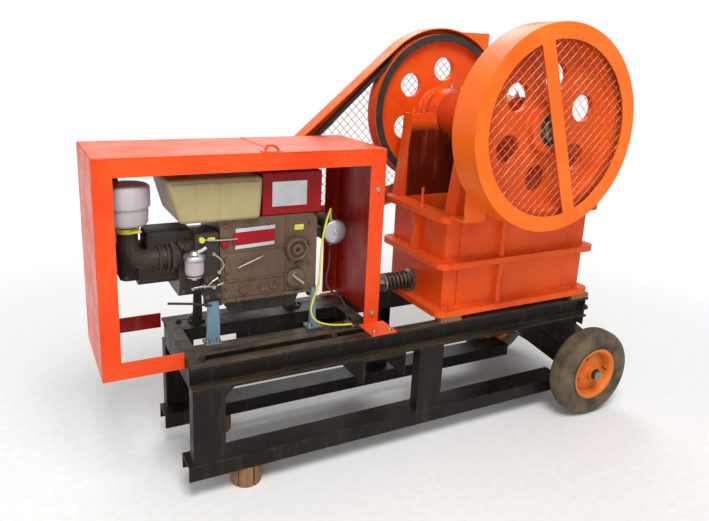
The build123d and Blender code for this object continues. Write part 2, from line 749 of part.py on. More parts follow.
with BuildPart() as cheek_plates:
    for side in (-1, 1):
        inner_y = y_at(side * (CHAMBER_HALF - FIT_GAP - CHEEK_THICKNESS))
        with BuildSketch(Plane.XZ.offset(-inner_y)):
            with BuildLine():
                Polyline(
                    (x_at(CHEEK_BOTTOM_BACK_X), JAW_BASE_Z),
                    (x_at(CHEEK_FRONT_X), JAW_BASE_Z),
                    (x_at(CHEEK_FRONT_X), CHEEK_TOP_Z - CHEEK_CHAMFER),
                    (x_at(CHEEK_FRONT_X - CHEEK_CHAMFER), CHEEK_TOP_Z),
                    (x_at(CHEEK_BACK_X + CHEEK_CHAMFER), CHEEK_TOP_Z),
                    (x_at(CHEEK_BACK_X), CHEEK_TOP_Z - CHEEK_CHAMFER),
                    close=True,
                )
            make_face()
            with Locations((x_at((CHEEK_FRONT_X + CHEEK_BACK_X) / 2), CHEEK_TOP_Z - 50)):
                SlotOverall(CHEEK_SLOT_LENGTH, CHEEK_SLOT_HEIGHT, mode=Mode.SUBTRACT)
        extrude(amount=-side * CHEEK_THICKNESS)
cheek_plates.part.label = "cheek_plates"
export_step(cheek_plates.part, "parts/cheek_plates.step")

# Jaw plates: ridges that run down the chamber, the fixed ones facing the moving ones
FIXED_BACK_X = JAW_FRONT_X - JAW_WALL
TOOTH_TIP_X = FIXED_BACK_X - FIXED_PLATE_THICKNESS
PLATE_HALF_WIDTH = CHAMBER_HALF - FIT_GAP - CHEEK_THICKNESS - 16.0


def ridge_points(half_width, root, tip, phase):
    """Gives the zigzag of the ridges across the plate from -half_width to half_width."""
    count = int(2 * half_width / TOOTH_PITCH)
    pitch = 2 * half_width / count
    points = []
    for index in range(2 * count + 1):
        level = tip if (index + phase) % 2 else root
        points.append((level, -half_width + index * pitch / 2))
    return points


with BuildPart() as fixed_jaw_plate:
    with BuildSketch(Plane.XY.offset(JAW_BASE_Z + JAW_FLANGE_THICKNESS)):
        with BuildLine():
            ridge = ridge_points(PLATE_HALF_WIDTH, TOOTH_TIP_X + TOOTH_DEPTH, TOOTH_TIP_X, 0)
            Polyline(
                *[(x_at(x), y_at(y)) for x, y in ridge],
                (x_at(FIXED_BACK_X), y_at(PLATE_HALF_WIDTH)),
                (x_at(FIXED_BACK_X), y_at(-PLATE_HALF_WIDTH)),
                close=True,
            )
        make_face()
    extrude(amount=JAW_TOP_Z + JAW_TOP_THICKNESS - JAW_BASE_Z - JAW_FLANGE_THICKNESS)
fixed_jaw_plate.part.label = "fixed_jaw_plate"
export_step(fixed_jaw_plate.part, "parts/fixed_jaw_plate.step")

# Swing jaw: a hub on the shaft and a tapering body behind the moving jaw plate
FACE_TOP = Vector(x_at(TOOTH_TIP_X - GAPE), JAW_TOP_Z)
FACE_BOTTOM = Vector(x_at(TOOTH_TIP_X - DISCHARGE_GAP), JAW_BASE_Z + 16)
FACE_RUN = FACE_BOTTOM - FACE_TOP
FACE_LENGTH = FACE_RUN.length
FACE_DIRECTION = FACE_RUN.normalized()
FACE_NORMAL = Vector(FACE_DIRECTION.Y * -1, FACE_DIRECTION.X)
PLATE_BACK_TOP = FACE_TOP - FACE_NORMAL * FIXED_PLATE_THICKNESS
PLATE_BACK_BOTTOM = FACE_BOTTOM - FACE_NORMAL * FIXED_PLATE_THICKNESS
TOGGLE_SEAT = Vector(x_at(SHAFT_X + 140.0), JAW_LEVEL_A - 96.0)
TUBE_HALF_WIDTH = CHAMBER_HALF - 5.0

with BuildPart() as swing_jaw:
    with BuildSketch(Plane.XZ.offset(-y_at(-PITMAN_HALF_WIDTH))):
        with BuildLine():
            Polyline(
                (x_at(SHAFT_X - 90), SHAFT_Z - 20),
                (TOGGLE_SEAT.X - 10, TOGGLE_SEAT.Y + 90),
                (TOGGLE_SEAT.X, TOGGLE_SEAT.Y + 30),
                (TOGGLE_SEAT.X + 40, TOGGLE_SEAT.Y + 12),
                (TOGGLE_SEAT.X + 40, TOGGLE_SEAT.Y - 12),
                (TOGGLE_SEAT.X, TOGGLE_SEAT.Y - 30),
                (TOGGLE_SEAT.X + 30, TOGGLE_SEAT.Y - 90),
                (PLATE_BACK_BOTTOM.X, PLATE_BACK_BOTTOM.Y),
                (PLATE_BACK_TOP.X, PLATE_BACK_TOP.Y),
                (x_at(SHAFT_X + 60), SHAFT_Z + 70),
                close=True,
            )
        make_face()
    extrude(amount=-2 * PITMAN_HALF_WIDTH)
    with BuildSketch(Plane.XZ.offset(-MID_Y)):
        with Locations((x_at(SHAFT_X), SHAFT_Z)):
            RegularPolygon(PITMAN_RADIUS, ROUND_SIDES)
    extrude(amount=TUBE_HALF_WIDTH, both=True)
    with BuildSketch(Plane.XZ.offset(-MID_Y)):
        with Locations((x_at(SHAFT_X), SHAFT_Z)):
            Circle(SHAFT_DIAMETER / 2 + BEARING_GAP)
    extrude(amount=TUBE_HALF_WIDTH, both=True, mode=Mode.SUBTRACT)
swing_jaw.part.label = "swing_jaw"
export_step(swing_jaw.part, "parts/swing_jaw.step")

with BuildPart() as swing_jaw_plate:
    with BuildSketch(
        Plane(
            origin=(FACE_TOP.X, MID_Y, FACE_TOP.Y),
            x_dir=(FACE_NORMAL.X, 0, FACE_NORMAL.Y),
            z_dir=(FACE_DIRECTION.X, 0, FACE_DIRECTION.Y),
        )
    ):
        with BuildLine():
            ridge = ridge_points(PLATE_HALF_WIDTH, -TOOTH_DEPTH, 0, 1)
            Polyline(
                *ridge,
                (-FIXED_PLATE_THICKNESS, PLATE_HALF_WIDTH),
                (-FIXED_PLATE_THICKNESS, -PLATE_HALF_WIDTH),
                close=True,
            )
        make_face()
    extrude(amount=FACE_LENGTH)
swing_jaw_plate.part.label = "swing_jaw_plate"
export_step(swing_jaw_plate.part, "parts/swing_jaw_plate.step")

# Toggle: a block at the rear wall and the plate between it and the swing jaw
TOGGLE_BLOCK_X = 1180.0
TOGGLE_GAP = 8.0

with BuildPart() as toggle_block:
    with BuildSketch(Plane.XZ.offset(-y_at(-CHAMBER_HALF))):
        with BuildLine():
            Polyline(
                (x_at(JAW_REAR_X + JAW_WALL), JAW_LEVEL_A - 10),
                (x_at(TOGGLE_BLOCK_X), JAW_LEVEL_A - 10),
                (x_at(TOGGLE_BLOCK_X), JAW_LEVEL_A - 40),
                (x_at(TOGGLE_BLOCK_X - 25), JAW_LEVEL_A - 52),
                (x_at(TOGGLE_BLOCK_X), JAW_LEVEL_A - 64),
                (x_at(TOGGLE_BLOCK_X), JAW_LEVEL_A - 95),
                (x_at(JAW_REAR_X + JAW_WALL), JAW_LEVEL_A - 80),
                close=True,
            )
        make_face()
    extrude(amount=-2 * CHAMBER_HALF)
toggle_block.part.label = "toggle_block"
export_step(toggle_block.part, "parts/toggle_block.step")

TOGGLE_REAR = Vector(x_at(TOGGLE_BLOCK_X - 1), JAW_LEVEL_A - 52)
TOGGLE_FRONT = Vector(TOGGLE_SEAT.X + 40 - TOGGLE_GAP - 12, TOGGLE_SEAT.Y)

with BuildPart() as toggle_plate:
    with BuildSketch(Plane.XZ.offset(-y_at(-PITMAN_HALF_WIDTH + 10))):
        with Locations((TOGGLE_REAR.X, TOGGLE_REAR.Y), (TOGGLE_FRONT.X, TOGGLE_FRONT.Y)):
            Circle(10)
        make_hull()
    extrude(amount=-2 * (PITMAN_HALF_WIDTH - 10))
toggle_plate.part.label = "toggle_plate"
export_step(toggle_plate.part, "parts/toggle_plate.step")


# Tension rod and its spring behind the rear wall
ROD_START_X = 843.0
SPRING_START_X = 893.0
SPRING_RADIUS = 34.0
SPRING_WIRE = 12.0
SPRING_TURNS = 6
COIL_STEPS = 12
SPRING_SEAT_THICKNESS = 10.0
WASHER_THICKNESS = 8.0
NUT_RADIUS = 19.0
NUT_THICKNESS = 16.0


def on_rod(station):
    """Gives the plane across the rod at a station, with its origin on the rod's axis."""
    return Plane(origin=(x_at(station), y_at(ROD_Y), ROD_Z), x_dir=(0, 1, 0), z_dir=(1, 0, 0))


with BuildPart() as tension_rod:
    with BuildSketch(on_rod(ROD_START_X)):
        RegularPolygon(ROD_DIAMETER / 2, PIPE_SIDES)
    extrude(amount=TOGGLE_BLOCK_X + 60 - ROD_START_X)
    with BuildSketch(on_rod(SPRING_START_X)):
        RegularPolygon(SPRING_RADIUS + SPRING_WIRE / 2, PIPE_SIDES)
    extrude(amount=-WASHER_THICKNESS)
    with BuildSketch(on_rod(SPRING_START_X - WASHER_THICKNESS)):
        RegularPolygon(NUT_RADIUS, 6)
    extrude(amount=-NUT_THICKNESS)
    with BuildSketch(on_rod(JAW_REAR_X)):
        RegularPolygon(SPRING_RADIUS + SPRING_WIRE / 2 + 6, PIPE_SIDES)
        RegularPolygon(ROD_DIAMETER / 2 + FIT_GAP, PIPE_SIDES, mode=Mode.SUBTRACT)
    extrude(amount=-SPRING_SEAT_THICKNESS)
tension_rod.part.label = "tension_rod"
export_step(tension_rod.part, "parts/tension_rod.step")

SPRING_RISE = JAW_REAR_X - SPRING_SEAT_THICKNESS - SPRING_START_X - SPRING_WIRE
COIL_COUNT = SPRING_TURNS * COIL_STEPS


def coil_ring(step):
    """Gives the six corners of the spring's wire at a step of its coil."""
    turn = 2 * pi * step / COIL_STEPS
    radial = Vector(0, cos(turn), sin(turn))
    start = Vector(x_at(SPRING_START_X + SPRING_WIRE / 2), y_at(ROD_Y), ROD_Z)
    centre = start + Vector(SPRING_RISE * step / COIL_COUNT, 0, 0) + radial * SPRING_RADIUS
    climb = SPRING_RISE / SPRING_TURNS / (2 * pi)
    along = Vector(climb, -SPRING_RADIUS * sin(turn), SPRING_RADIUS * cos(turn))
    across = Plane(origin=centre, x_dir=radial, z_dir=along)
    angles = [pi * corner / 3 for corner in range(6)]
    half = SPRING_WIRE / 2
    return [across.from_local_coords(Vector(half * cos(a), half * sin(a))) for a in angles]


with BuildPart() as tension_spring:
    add(flat_sided([coil_ring(step) for step in range(COIL_COUNT + 1)], split=True))
tension_spring.part.label = "tension_spring"
export_step(tension_spring.part, "parts/tension_spring.step")

# Crusher rotor: the shaft and the two flywheels, the far one grooved for the belts
SHAFT_NEAR_Y = NEAR_FLYWHEEL_Y - NEAR_FLYWHEEL_WIDTH / 2 - SHAFT_STUB
SHAFT_FAR_Y = FAR_FLYWHEEL_Y + FAR_FLYWHEEL_WIDTH / 2 - 1

with BuildPart() as eccentric_shaft:
    with BuildSketch(Plane.XZ.offset(-y_at(SHAFT_NEAR_Y))):
        with Locations((x_at(SHAFT_X), SHAFT_Z)):
            Circle(SHAFT_DIAMETER / 2)
    extrude(amount=-(SHAFT_FAR_Y - SHAFT_NEAR_Y))
eccentric_shaft.part.label = "eccentric_shaft"
export_step(eccentric_shaft.part, "parts/eccentric_shaft.step")


FLYWHEEL_HUB_RADIUS = 93.0
GROOVE_TOP = 7.0
GROOVE_BOTTOM = 4.0


def rim_stations(centre_y, width, radius, grooved):
    """Gives the (place, radius) pairs of a wheel's rim, with the belts' grooves if it has them."""
    stations = [(y_at(centre_y - width / 2), radius)]
    if grooved:
        for groove in range(BELT_COUNT):
            middle = y_at(centre_y + (groove - (BELT_COUNT - 1) / 2) * BELT_PITCH)
            stations += [
                (middle - GROOVE_TOP, radius),
                (middle - GROOVE_BOTTOM, radius - GROOVE_DEPTH),
                (middle + GROOVE_BOTTOM, radius - GROOVE_DEPTH),
                (middle + GROOVE_TOP, radius),
            ]
    stations.append((y_at(centre_y + width / 2), radius))
    return stations


def flywheel(centre_y, width, grooved):
    """Makes a flywheel with a heavy rim, a thin web, a hub and six holes through the web."""
    stations = rim_stations(centre_y, width, FLYWHEEL_RADIUS, grooved)
    with BuildPart() as wheel:
        add(turned(stations, x_at(SHAFT_X), SHAFT_Z, ROUND_SIDES))
        for end in (-1, 1):
            with BuildSketch(Plane.XZ.offset(-y_at(centre_y + end * FLYWHEEL_WEB / 2))):
                with Locations((x_at(SHAFT_X), SHAFT_Z)):
                    RegularPolygon(FLYWHEEL_RADIUS - FLYWHEEL_RIM, ROUND_SIDES)
                    RegularPolygon(FLYWHEEL_HUB_RADIUS, ROUND_SIDES, mode=Mode.SUBTRACT)
            extrude(amount=-end * width, mode=Mode.SUBTRACT)
        with BuildSketch(Plane.XZ.offset(-y_at(centre_y))):
            with Locations((x_at(SHAFT_X), SHAFT_Z)):
                Circle(SHAFT_DIAMETER / 2)
                with PolarLocations(HOLE_CIRCLE, 6, start_angle=HOLE_ANGLE):
                    RegularPolygon(HOLE_DIAMETER / 2, WHEEL_SIDES)
        extrude(amount=width, both=True, mode=Mode.SUBTRACT)
    return wheel.part


with BuildPart() as flywheel_near:
    add(flywheel(NEAR_FLYWHEEL_Y, NEAR_FLYWHEEL_WIDTH, False))
flywheel_near.part.label = "flywheel_near"
export_step(flywheel_near.part, "parts/flywheel_near.step")

with BuildPart() as flywheel_far:
    add(flywheel(FAR_FLYWHEEL_Y, FAR_FLYWHEEL_WIDTH, True))
flywheel_far.part.label = "flywheel_far"
export_step(flywheel_far.part, "parts/flywheel_far.step")

# Engine rotor: the grooved pulley on the crankshaft and the engine flywheel
ENGINE_FAR_Y = 190.0
PULLEY_WIDTH = FAR_FLYWHEEL_WIDTH - 10.0
CRANK_GAP = 2.0
FLYWHEEL_RECESS = 24.0
RECESS_OUTER = ENGINE_FLYWHEEL_RADIUS - 34.0
RECESS_INNER = 70.0

with BuildPart() as engine_pulley:
    stations = rim_stations(FAR_FLYWHEEL_Y, PULLEY_WIDTH, PULLEY_RADIUS, True)
    add(turned(stations, x_at(CRANK_X), CRANK_Z, WHEEL_SIDES))
    with BuildSketch(Plane.XZ.offset(-y_at(ENGINE_FAR_Y + CRANK_GAP))):
        with Locations((x_at(CRANK_X), CRANK_Z)):
            Circle(CRANK_DIAMETER / 2)
    extrude(amount=-(FAR_FLYWHEEL_Y + FAR_FLYWHEEL_WIDTH / 2 - ENGINE_FAR_Y - CRANK_GAP))
engine_pulley.part.label = "engine_pulley"
export_step(engine_pulley.part, "parts/engine_pulley.step")

with BuildPart() as engine_flywheel:
    with BuildSketch(Plane.XZ.offset(-y_at(ENGINE_FLYWHEEL_Y))):
        with Locations((x_at(CRANK_X), CRANK_Z)):
            RegularPolygon(ENGINE_FLYWHEEL_RADIUS, ROUND_SIDES)
            Circle(CRANK_DIAMETER / 2, mode=Mode.SUBTRACT)
    extrude(amount=-ENGINE_FLYWHEEL_WIDTH)
    with BuildSketch(Plane.XZ.offset(-y_at(ENGINE_FLYWHEEL_Y + ENGINE_FLYWHEEL_WIDTH))):
        with Locations((x_at(CRANK_X), CRANK_Z)):
            RegularPolygon(RECESS_OUTER, ROUND_SIDES)
            RegularPolygon(RECESS_INNER, ROUND_SIDES, mode=Mode.SUBTRACT)
    extrude(amount=FLYWHEEL_RECESS, mode=Mode.SUBTRACT)
engine_flywheel.part.label = "engine_flywheel"
export_step(engine_flywheel.part, "parts/engine_flywheel.step")

# Drive belts: closed loops in the grooves of the pulley and the far flywheel
BELT_GAP = 0.4
BELT_THICKNESS = 10.0
BELT_WIDTH = 7.2


def belt_loop(centre_y):
    """Makes one belt as the hull of two circles with the hull of two smaller ones cut out."""
    depth = GROOVE_DEPTH - BELT_GAP
    with BuildPart() as loop:
        with BuildSketch(Plane.XZ.offset(-y_at(centre_y - BELT_WIDTH / 2))):
            with Locations((x_at(SHAFT_X), SHAFT_Z)):
                Circle(FLYWHEEL_RADIUS - depth + BELT_THICKNESS)
            with Locations((x_at(CRANK_X), CRANK_Z)):
                Circle(PULLEY_RADIUS - depth + BELT_THICKNESS)
            make_hull()
        extrude(amount=-BELT_WIDTH)
        with BuildSketch(Plane.XZ.offset(-y_at(centre_y - BELT_WIDTH / 2))):
            with Locations((x_at(SHAFT_X), SHAFT_Z)):
                Circle(FLYWHEEL_RADIUS - depth)
            with Locations((x_at(CRANK_X), CRANK_Z)):
                Circle(PULLEY_RADIUS - depth)
            make_hull()
        extrude(amount=-BELT_WIDTH, mode=Mode.SUBTRACT)
    return loop.part


with BuildPart() as drive_belts:
    for belt in range(BELT_COUNT):
        add(belt_loop(FAR_FLYWHEEL_Y + (belt - (BELT_COUNT - 1) / 2) * BELT_PITCH))
drive_belts.part.label = "drive_belts"
export_step(drive_belts.part, "parts/drive_belts.step")


# Round guard: a sheet rim, a face ring and a diagonal bar over a mesh
GUARD_BAR_LEAN = 100.0
CORNER_PLATE_X = SHAFT_X + 255.0
CORNER_PLATE_Z = SHAFT_Z + 352.0
CORNER_PLATE_START_X = SHAFT_X + 100.0
CORNER_PLATE_LOW_Z = SHAFT_Z + 260.0

with BuildPart() as guard_round:
    with BuildSketch(Plane.XZ.offset(-y_at(ROUND_GUARD_FACE_Y))):
        with Locations((x_at(SHAFT_X), SHAFT_Z)):
            RegularPolygon(ROUND_GUARD_RADIUS, ROUND_SIDES)
            RegularPolygon(ROUND_GUARD_RADIUS - SHEET, ROUND_SIDES, mode=Mode.SUBTRACT)
    extrude(amount=-ROUND_GUARD_DEPTH)
    with BuildSketch(Plane.XZ.offset(-y_at(ROUND_GUARD_FACE_Y))):
        with Locations((x_at(SHAFT_X), SHAFT_Z)):
            RegularPolygon(ROUND_GUARD_RADIUS, ROUND_SIDES)
            RegularPolygon(ROUND_GUARD_RADIUS - ROUND_GUARD_RING, ROUND_SIDES, mode=Mode.SUBTRACT)
            with Locations(Location((0, 0), GUARD_BAR_LEAN)):
                Rectangle(2 * ROUND_GUARD_RADIUS - ROUND_GUARD_RING, GUARD_BAR)
    extrude(amount=-SHEET)
guard_round.part.label = "guard_round"
export_step(guard_round.part, "parts/guard_round.step")


def guard_outline(inset):
    """Draws the teardrop around the far flywheel and the pulley, drawn in by an inset."""
    with BuildSketch() as outline:
        with Locations((x_at(SHAFT_X), SHAFT_Z)):
            Circle(BELT_GUARD_RADIUS - inset)
        with Locations((x_at(BELT_GUARD_END_X), BELT_GUARD_END_Z)):
            Circle(BELT_GUARD_END_RADIUS - inset)
        make_hull()
    return outline.sketch


# The belt guard also has a flat plate that squares its upper corner at the back
with BuildPart() as guard_belt:
    with BuildSketch(Plane.XZ.offset(-y_at(BELT_GUARD_FACE_Y))):
        add(guard_outline(0))
        add(guard_outline(SHEET), mode=Mode.SUBTRACT)
    extrude(amount=BELT_GUARD_DEPTH)
    with BuildSketch(Plane.XZ.offset(-y_at(BELT_GUARD_FACE_Y))):
        add(guard_outline(0))
        add(guard_outline(BELT_GUARD_RING), mode=Mode.SUBTRACT)
        with Locations((x_at(SHAFT_X), SHAFT_Z)):
            with Locations(Location((0, 0), GUARD_BAR_LEAN)):
                Rectangle(2 * BELT_GUARD_RADIUS - BELT_GUARD_RING, GUARD_BAR)
    extrude(amount=SHEET)
    with BuildSketch(Plane.XZ.offset(-y_at(BELT_GUARD_FACE_Y - BELT_GUARD_DEPTH))):
        with BuildLine():
            Polyline(
                (x_at(CORNER_PLATE_START_X), CORNER_PLATE_Z),
                (x_at(CORNER_PLATE_X), CORNER_PLATE_Z),
                (x_at(CORNER_PLATE_X), CORNER_PLATE_LOW_Z),
                close=True,
            )
        make_face()
        add(guard_outline(SHEET), mode=Mode.SUBTRACT)
    extrude(amount=-SHEET)
guard_belt.part.label = "guard_belt"
export_step(guard_belt.part, "parts/guard_belt.step")


def lattice(outline, centre_x, centre_z, reach):
    """Draws crossing wires inside an outline, fused where they cross."""
    count = int(reach / LATTICE_PITCH)
    with BuildSketch() as wires:
        for lean in (45, -45):
            with Locations(Location((centre_x, centre_z), lean)):
                with GridLocations(0, LATTICE_PITCH, 1, 2 * count + 1):
                    Rectangle(2 * reach, MESH_WIRE)
        add(outline, mode=Mode.INTERSECT)
    return wires.sketch


def round_outline():
    with BuildSketch() as outline:
        with Locations((x_at(SHAFT_X), SHAFT_Z)):
            RegularPolygon(ROUND_GUARD_RADIUS - ROUND_GUARD_RING + MESH_EDGE, ROUND_SIDES)
    return outline.sketch


# Both meshes: every third wire of the real ones, held between the ring and its bar
with BuildPart() as guard_round_mesh:
    with BuildSketch(Plane.XZ.offset(-y_at(ROUND_GUARD_FACE_Y + SHEET))):
        add(lattice(round_outline(), x_at(SHAFT_X), SHAFT_Z, ROUND_GUARD_RADIUS))
    extrude(amount=-MESH_WIRE)
guard_round_mesh.part.label = "guard_round_mesh"
export_step(guard_round_mesh.part, "parts/guard_round_mesh.step")

with BuildPart() as guard_belt_mesh:
    with BuildSketch(Plane.XZ.offset(-y_at(BELT_GUARD_FACE_Y - SHEET))):
        middle_x = x_at((SHAFT_X + BELT_GUARD_END_X) / 2)
        middle_z = (SHAFT_Z + BELT_GUARD_END_Z) / 2
        outline = guard_outline(BELT_GUARD_RING - MESH_EDGE)
        add(lattice(outline, middle_x, middle_z, 3 * BELT_GUARD_RADIUS))
    extrude(amount=MESH_WIRE)
guard_belt_mesh.part.label = "guard_belt_mesh"
export_step(guard_belt_mesh.part, "parts/guard_belt_mesh.step")

# Guard stays: two feet that tie the round guard to the jaw, a strut under the belt guard
def guard_underside(distance):
    """Gives the height of the belt guard's lower straight at a station."""
    run_x = SHAFT_X - BELT_GUARD_END_X
    run_z = SHAFT_Z - BELT_GUARD_END_Z
    span = hypot(run_x, run_z)
    lean = atan2(run_z, run_x) - asin((BELT_GUARD_RADIUS - BELT_GUARD_END_RADIUS) / span)
    start_x = BELT_GUARD_END_X + BELT_GUARD_END_RADIUS * sin(lean)
    start_z = BELT_GUARD_END_Z - BELT_GUARD_END_RADIUS * cos(lean)
    return start_z + (distance - start_x) * tan(lean)


STRUT_X = 300.0
STRUT_WIDTH = 40.0
STRUT_LEAN = 34.0
STRUT_Y = BELT_GUARD_FACE_Y - SHEET - 20.0
STAY_SHEET = 8.0
GUARD_BACK_Y = ROUND_GUARD_FACE_Y + ROUND_GUARD_DEPTH
REAR_STAY_X = SHAFT_X - 290.0
REAR_STAY_WIDTH = 100.0
STAY_TONGUE = 32.0
STAY_GAP = 0.5
FOOT_X = SHAFT_X + 310.0
FOOT_END_X = SHAFT_X + 457.0
SHELF_TOP_Z = JAW_TOP_Z + JAW_TOP_THICKNESS

with BuildPart() as guard_stays:
    with BuildSketch(Plane.XZ.offset(-y_at(GUARD_BACK_Y))):
        with BuildLine():
            Polyline(
                (x_at(REAR_STAY_X), JAW_LEVEL_B + JAW_FLANGE_THICKNESS),
                (x_at(REAR_STAY_X + REAR_STAY_WIDTH), JAW_LEVEL_B + JAW_FLANGE_THICKNESS),
                (x_at(REAR_STAY_X + REAR_STAY_WIDTH), SHAFT_Z - 240),
                (x_at(REAR_STAY_X), SHAFT_Z - 200),
                close=True,
            )
        make_face()
    extrude(amount=-STAY_SHEET)
    with BuildSketch(Plane.XY.offset(JAW_LEVEL_B + JAW_FLANGE_THICKNESS)):
        with Locations((x_at(REAR_STAY_X), y_at(GUARD_BACK_Y))):
            Rectangle(
                REAR_STAY_WIDTH,
                -JAW_HALF_WIDTH - JAW_FLANGE_OUT - STAY_GAP - GUARD_BACK_Y,
                align=(Align.MIN, Align.MIN),
            )
        with Locations((x_at(REAR_STAY_X + REAR_STAY_WIDTH), y_at(GUARD_BACK_Y))):
            Rectangle(
                STAY_TONGUE,
                -JAW_HALF_WIDTH - JAW_FLANGE_OUT / 2 - GUARD_BACK_Y,
                align=(Align.MAX, Align.MIN),
            )
    extrude(amount=STAY_SHEET)
    with BuildSketch(Plane.XZ.offset(-y_at(GUARD_BACK_Y))):
        with BuildLine():
            Polyline(
                (x_at(FOOT_X), SHELF_TOP_Z),
                (x_at(FOOT_END_X), SHELF_TOP_Z),
                (x_at(FOOT_END_X), SHELF_TOP_Z + 40),
                (x_at(FOOT_END_X - 40), SHELF_TOP_Z + 70),
                (x_at(FOOT_X + 30), SHELF_TOP_Z + 70),
                close=True,
            )
        make_face()
        with Locations((x_at(SHAFT_X), SHAFT_Z)):
            Circle(ROUND_GUARD_RADIUS - SHEET, mode=Mode.SUBTRACT)
    extrude(amount=-STAY_SHEET)
    with BuildSketch(Plane.XY.offset(SHELF_TOP_Z)):
        with Locations((x_at(FOOT_END_X), y_at(GUARD_BACK_Y))):
            Rectangle(
                FOOT_END_X - FOOT_X - 20,
                -JAW_HALF_WIDTH - GUARD_BACK_Y,
                align=(Align.MAX, Align.MIN),
            )
    extrude(amount=STAY_SHEET)
    with BuildSketch(Plane.XZ.offset(-y_at(STRUT_Y))):
        with BuildLine():
            Polyline(
                (x_at(STRUT_X), RAIL_TOP_Z),
                (x_at(STRUT_X + STRUT_WIDTH), RAIL_TOP_Z),
                (
                    x_at(STRUT_X + STRUT_WIDTH + STRUT_LEAN),
                    guard_underside(STRUT_X + STRUT_WIDTH + STRUT_LEAN),
                ),
                (x_at(STRUT_X + STRUT_LEAN), guard_underside(STRUT_X + STRUT_LEAN)),
                close=True,
            )
        make_face()
    extrude(amount=STAY_SHEET)
    with BuildSketch(Plane.XY.offset(RAIL_TOP_Z)):
        with Locations((x_at(STRUT_X), y_at(STRUT_Y))):
            Rectangle(
                STRUT_WIDTH,
                STRUT_Y - HALF_FRAME + RAIL_FLANGE,
                align=(Align.MIN, Align.MAX),
            )
    extrude(amount=STAY_SHEET)
guard_stays.part.label = "guard_stays"
export_step(guard_stays.part, "parts/guard_stays.step")

# Engine: block, head, sump and feet
ENGINE_NEAR_Y = -65.0
BLOCK_START_X = CRANK_X - 254.0
BLOCK_END_X = CRANK_X + 121.0
BLOCK_BOTTOM_Z = CRANK_Z - 180.0
BLOCK_TOP_Z = CRANK_Z + 130.0
HEAD_LENGTH = 141.0
HEAD_Y = 60.0
HEAD_Z = CRANK_Z - 42.0
HEAD_WIDTH = 200.0
HEAD_HEIGHT = 210.0
COVER_LENGTH = 130.0
COVER_WIDTH = 120.0
COVER_HEIGHT = 120.0
PORT_SIZE = 60.0
HEAD_START_X = BLOCK_START_X - HEAD_LENGTH
SUMP_BOTTOM_Z = BLOCK_BOTTOM_Z - 54.0
SUMP_INSET = 22.0
SUMP_TAPER = 24.0
BOSS_RADIUS = 34.0
BOSS_DEPTH = 14.0
BOSS_X = BLOCK_END_X - 86.0
LOWER_BOSS_Z = CRANK_Z - 116.0
FOOT_WIDTH = 60.0
FOOT_DEPTH = 50.0
FOOT_PLATE = 12.0
FOOT_WEB = 16.0
FOOT_SPREAD = 42.0

with BuildPart() as engine_block:
    with BuildSketch(Plane.XZ.offset(-y_at(ENGINE_NEAR_Y))):
        with Locations((x_at(BLOCK_START_X), BLOCK_BOTTOM_Z)):
            Rectangle(
                BLOCK_END_X - BLOCK_START_X,
                BLOCK_TOP_Z - BLOCK_BOTTOM_Z,
                align=(Align.MIN, Align.MIN),
            )
        fillet(vertices().group_by(Axis.X)[-1], 30)
    extrude(amount=-(ENGINE_FAR_Y - ENGINE_NEAR_Y))
    with BuildSketch(Plane.XZ.offset(-y_at(ENGINE_NEAR_Y))):
        with Locations((x_at(BOSS_X), CRANK_Z), (x_at(BOSS_X), LOWER_BOSS_Z)):
            RegularPolygon(BOSS_RADIUS, PIPE_SIDES)
    extrude(amount=BOSS_DEPTH)
engine_block.part.label = "engine_block"
export_step(engine_block.part, "parts/engine_block.step")

# The head carries the rocker cover and, on its far side, the exhaust port
PIPE_Z = CRANK_Z - 35.0

with BuildPart() as cylinder_head:
    with BuildSketch(Plane.YZ.offset(x_at(BLOCK_START_X))):
        with Locations((y_at(HEAD_Y), HEAD_Z)):
            Rectangle(HEAD_WIDTH, HEAD_HEIGHT)
        chamfer(vertices(), 18)
    extrude(amount=-HEAD_LENGTH)
    with BuildSketch(Plane.YZ.offset(x_at(HEAD_START_X))):
        with Locations((y_at(HEAD_Y), HEAD_Z)):
            Rectangle(COVER_WIDTH, COVER_HEIGHT)
        chamfer(vertices(), 18)
    extrude(amount=-COVER_LENGTH)
    with BuildSketch(Plane.YZ.offset(x_at(HEAD_START_X - PORT_SIZE / 2))):
        with Locations((y_at(HEAD_Y + HEAD_WIDTH / 2), PIPE_Z)):
            Rectangle(PORT_SIZE + 30, PORT_SIZE)
    extrude(amount=PORT_SIZE)
cylinder_head.part.label = "cylinder_head"
export_step(cylinder_head.part, "parts/cylinder_head.step")

with BuildPart() as engine_sump:
    with BuildSketch(Plane.XZ.offset(-y_at(ENGINE_NEAR_Y + 20))):
        with BuildLine():
            Polyline(
                (x_at(BLOCK_START_X + SUMP_INSET), BLOCK_BOTTOM_Z),
                (x_at(BLOCK_END_X - SUMP_INSET - 36), BLOCK_BOTTOM_Z),
                (x_at(BLOCK_END_X - SUMP_INSET - 36 - SUMP_TAPER), SUMP_BOTTOM_Z),
                (x_at(BLOCK_START_X + SUMP_INSET + SUMP_TAPER), SUMP_BOTTOM_Z),
                close=True,
            )
        make_face()
    extrude(amount=-(ENGINE_FAR_Y - ENGINE_NEAR_Y - 40))
engine_sump.part.label = "engine_sump"
export_step(engine_sump.part, "parts/engine_sump.step")


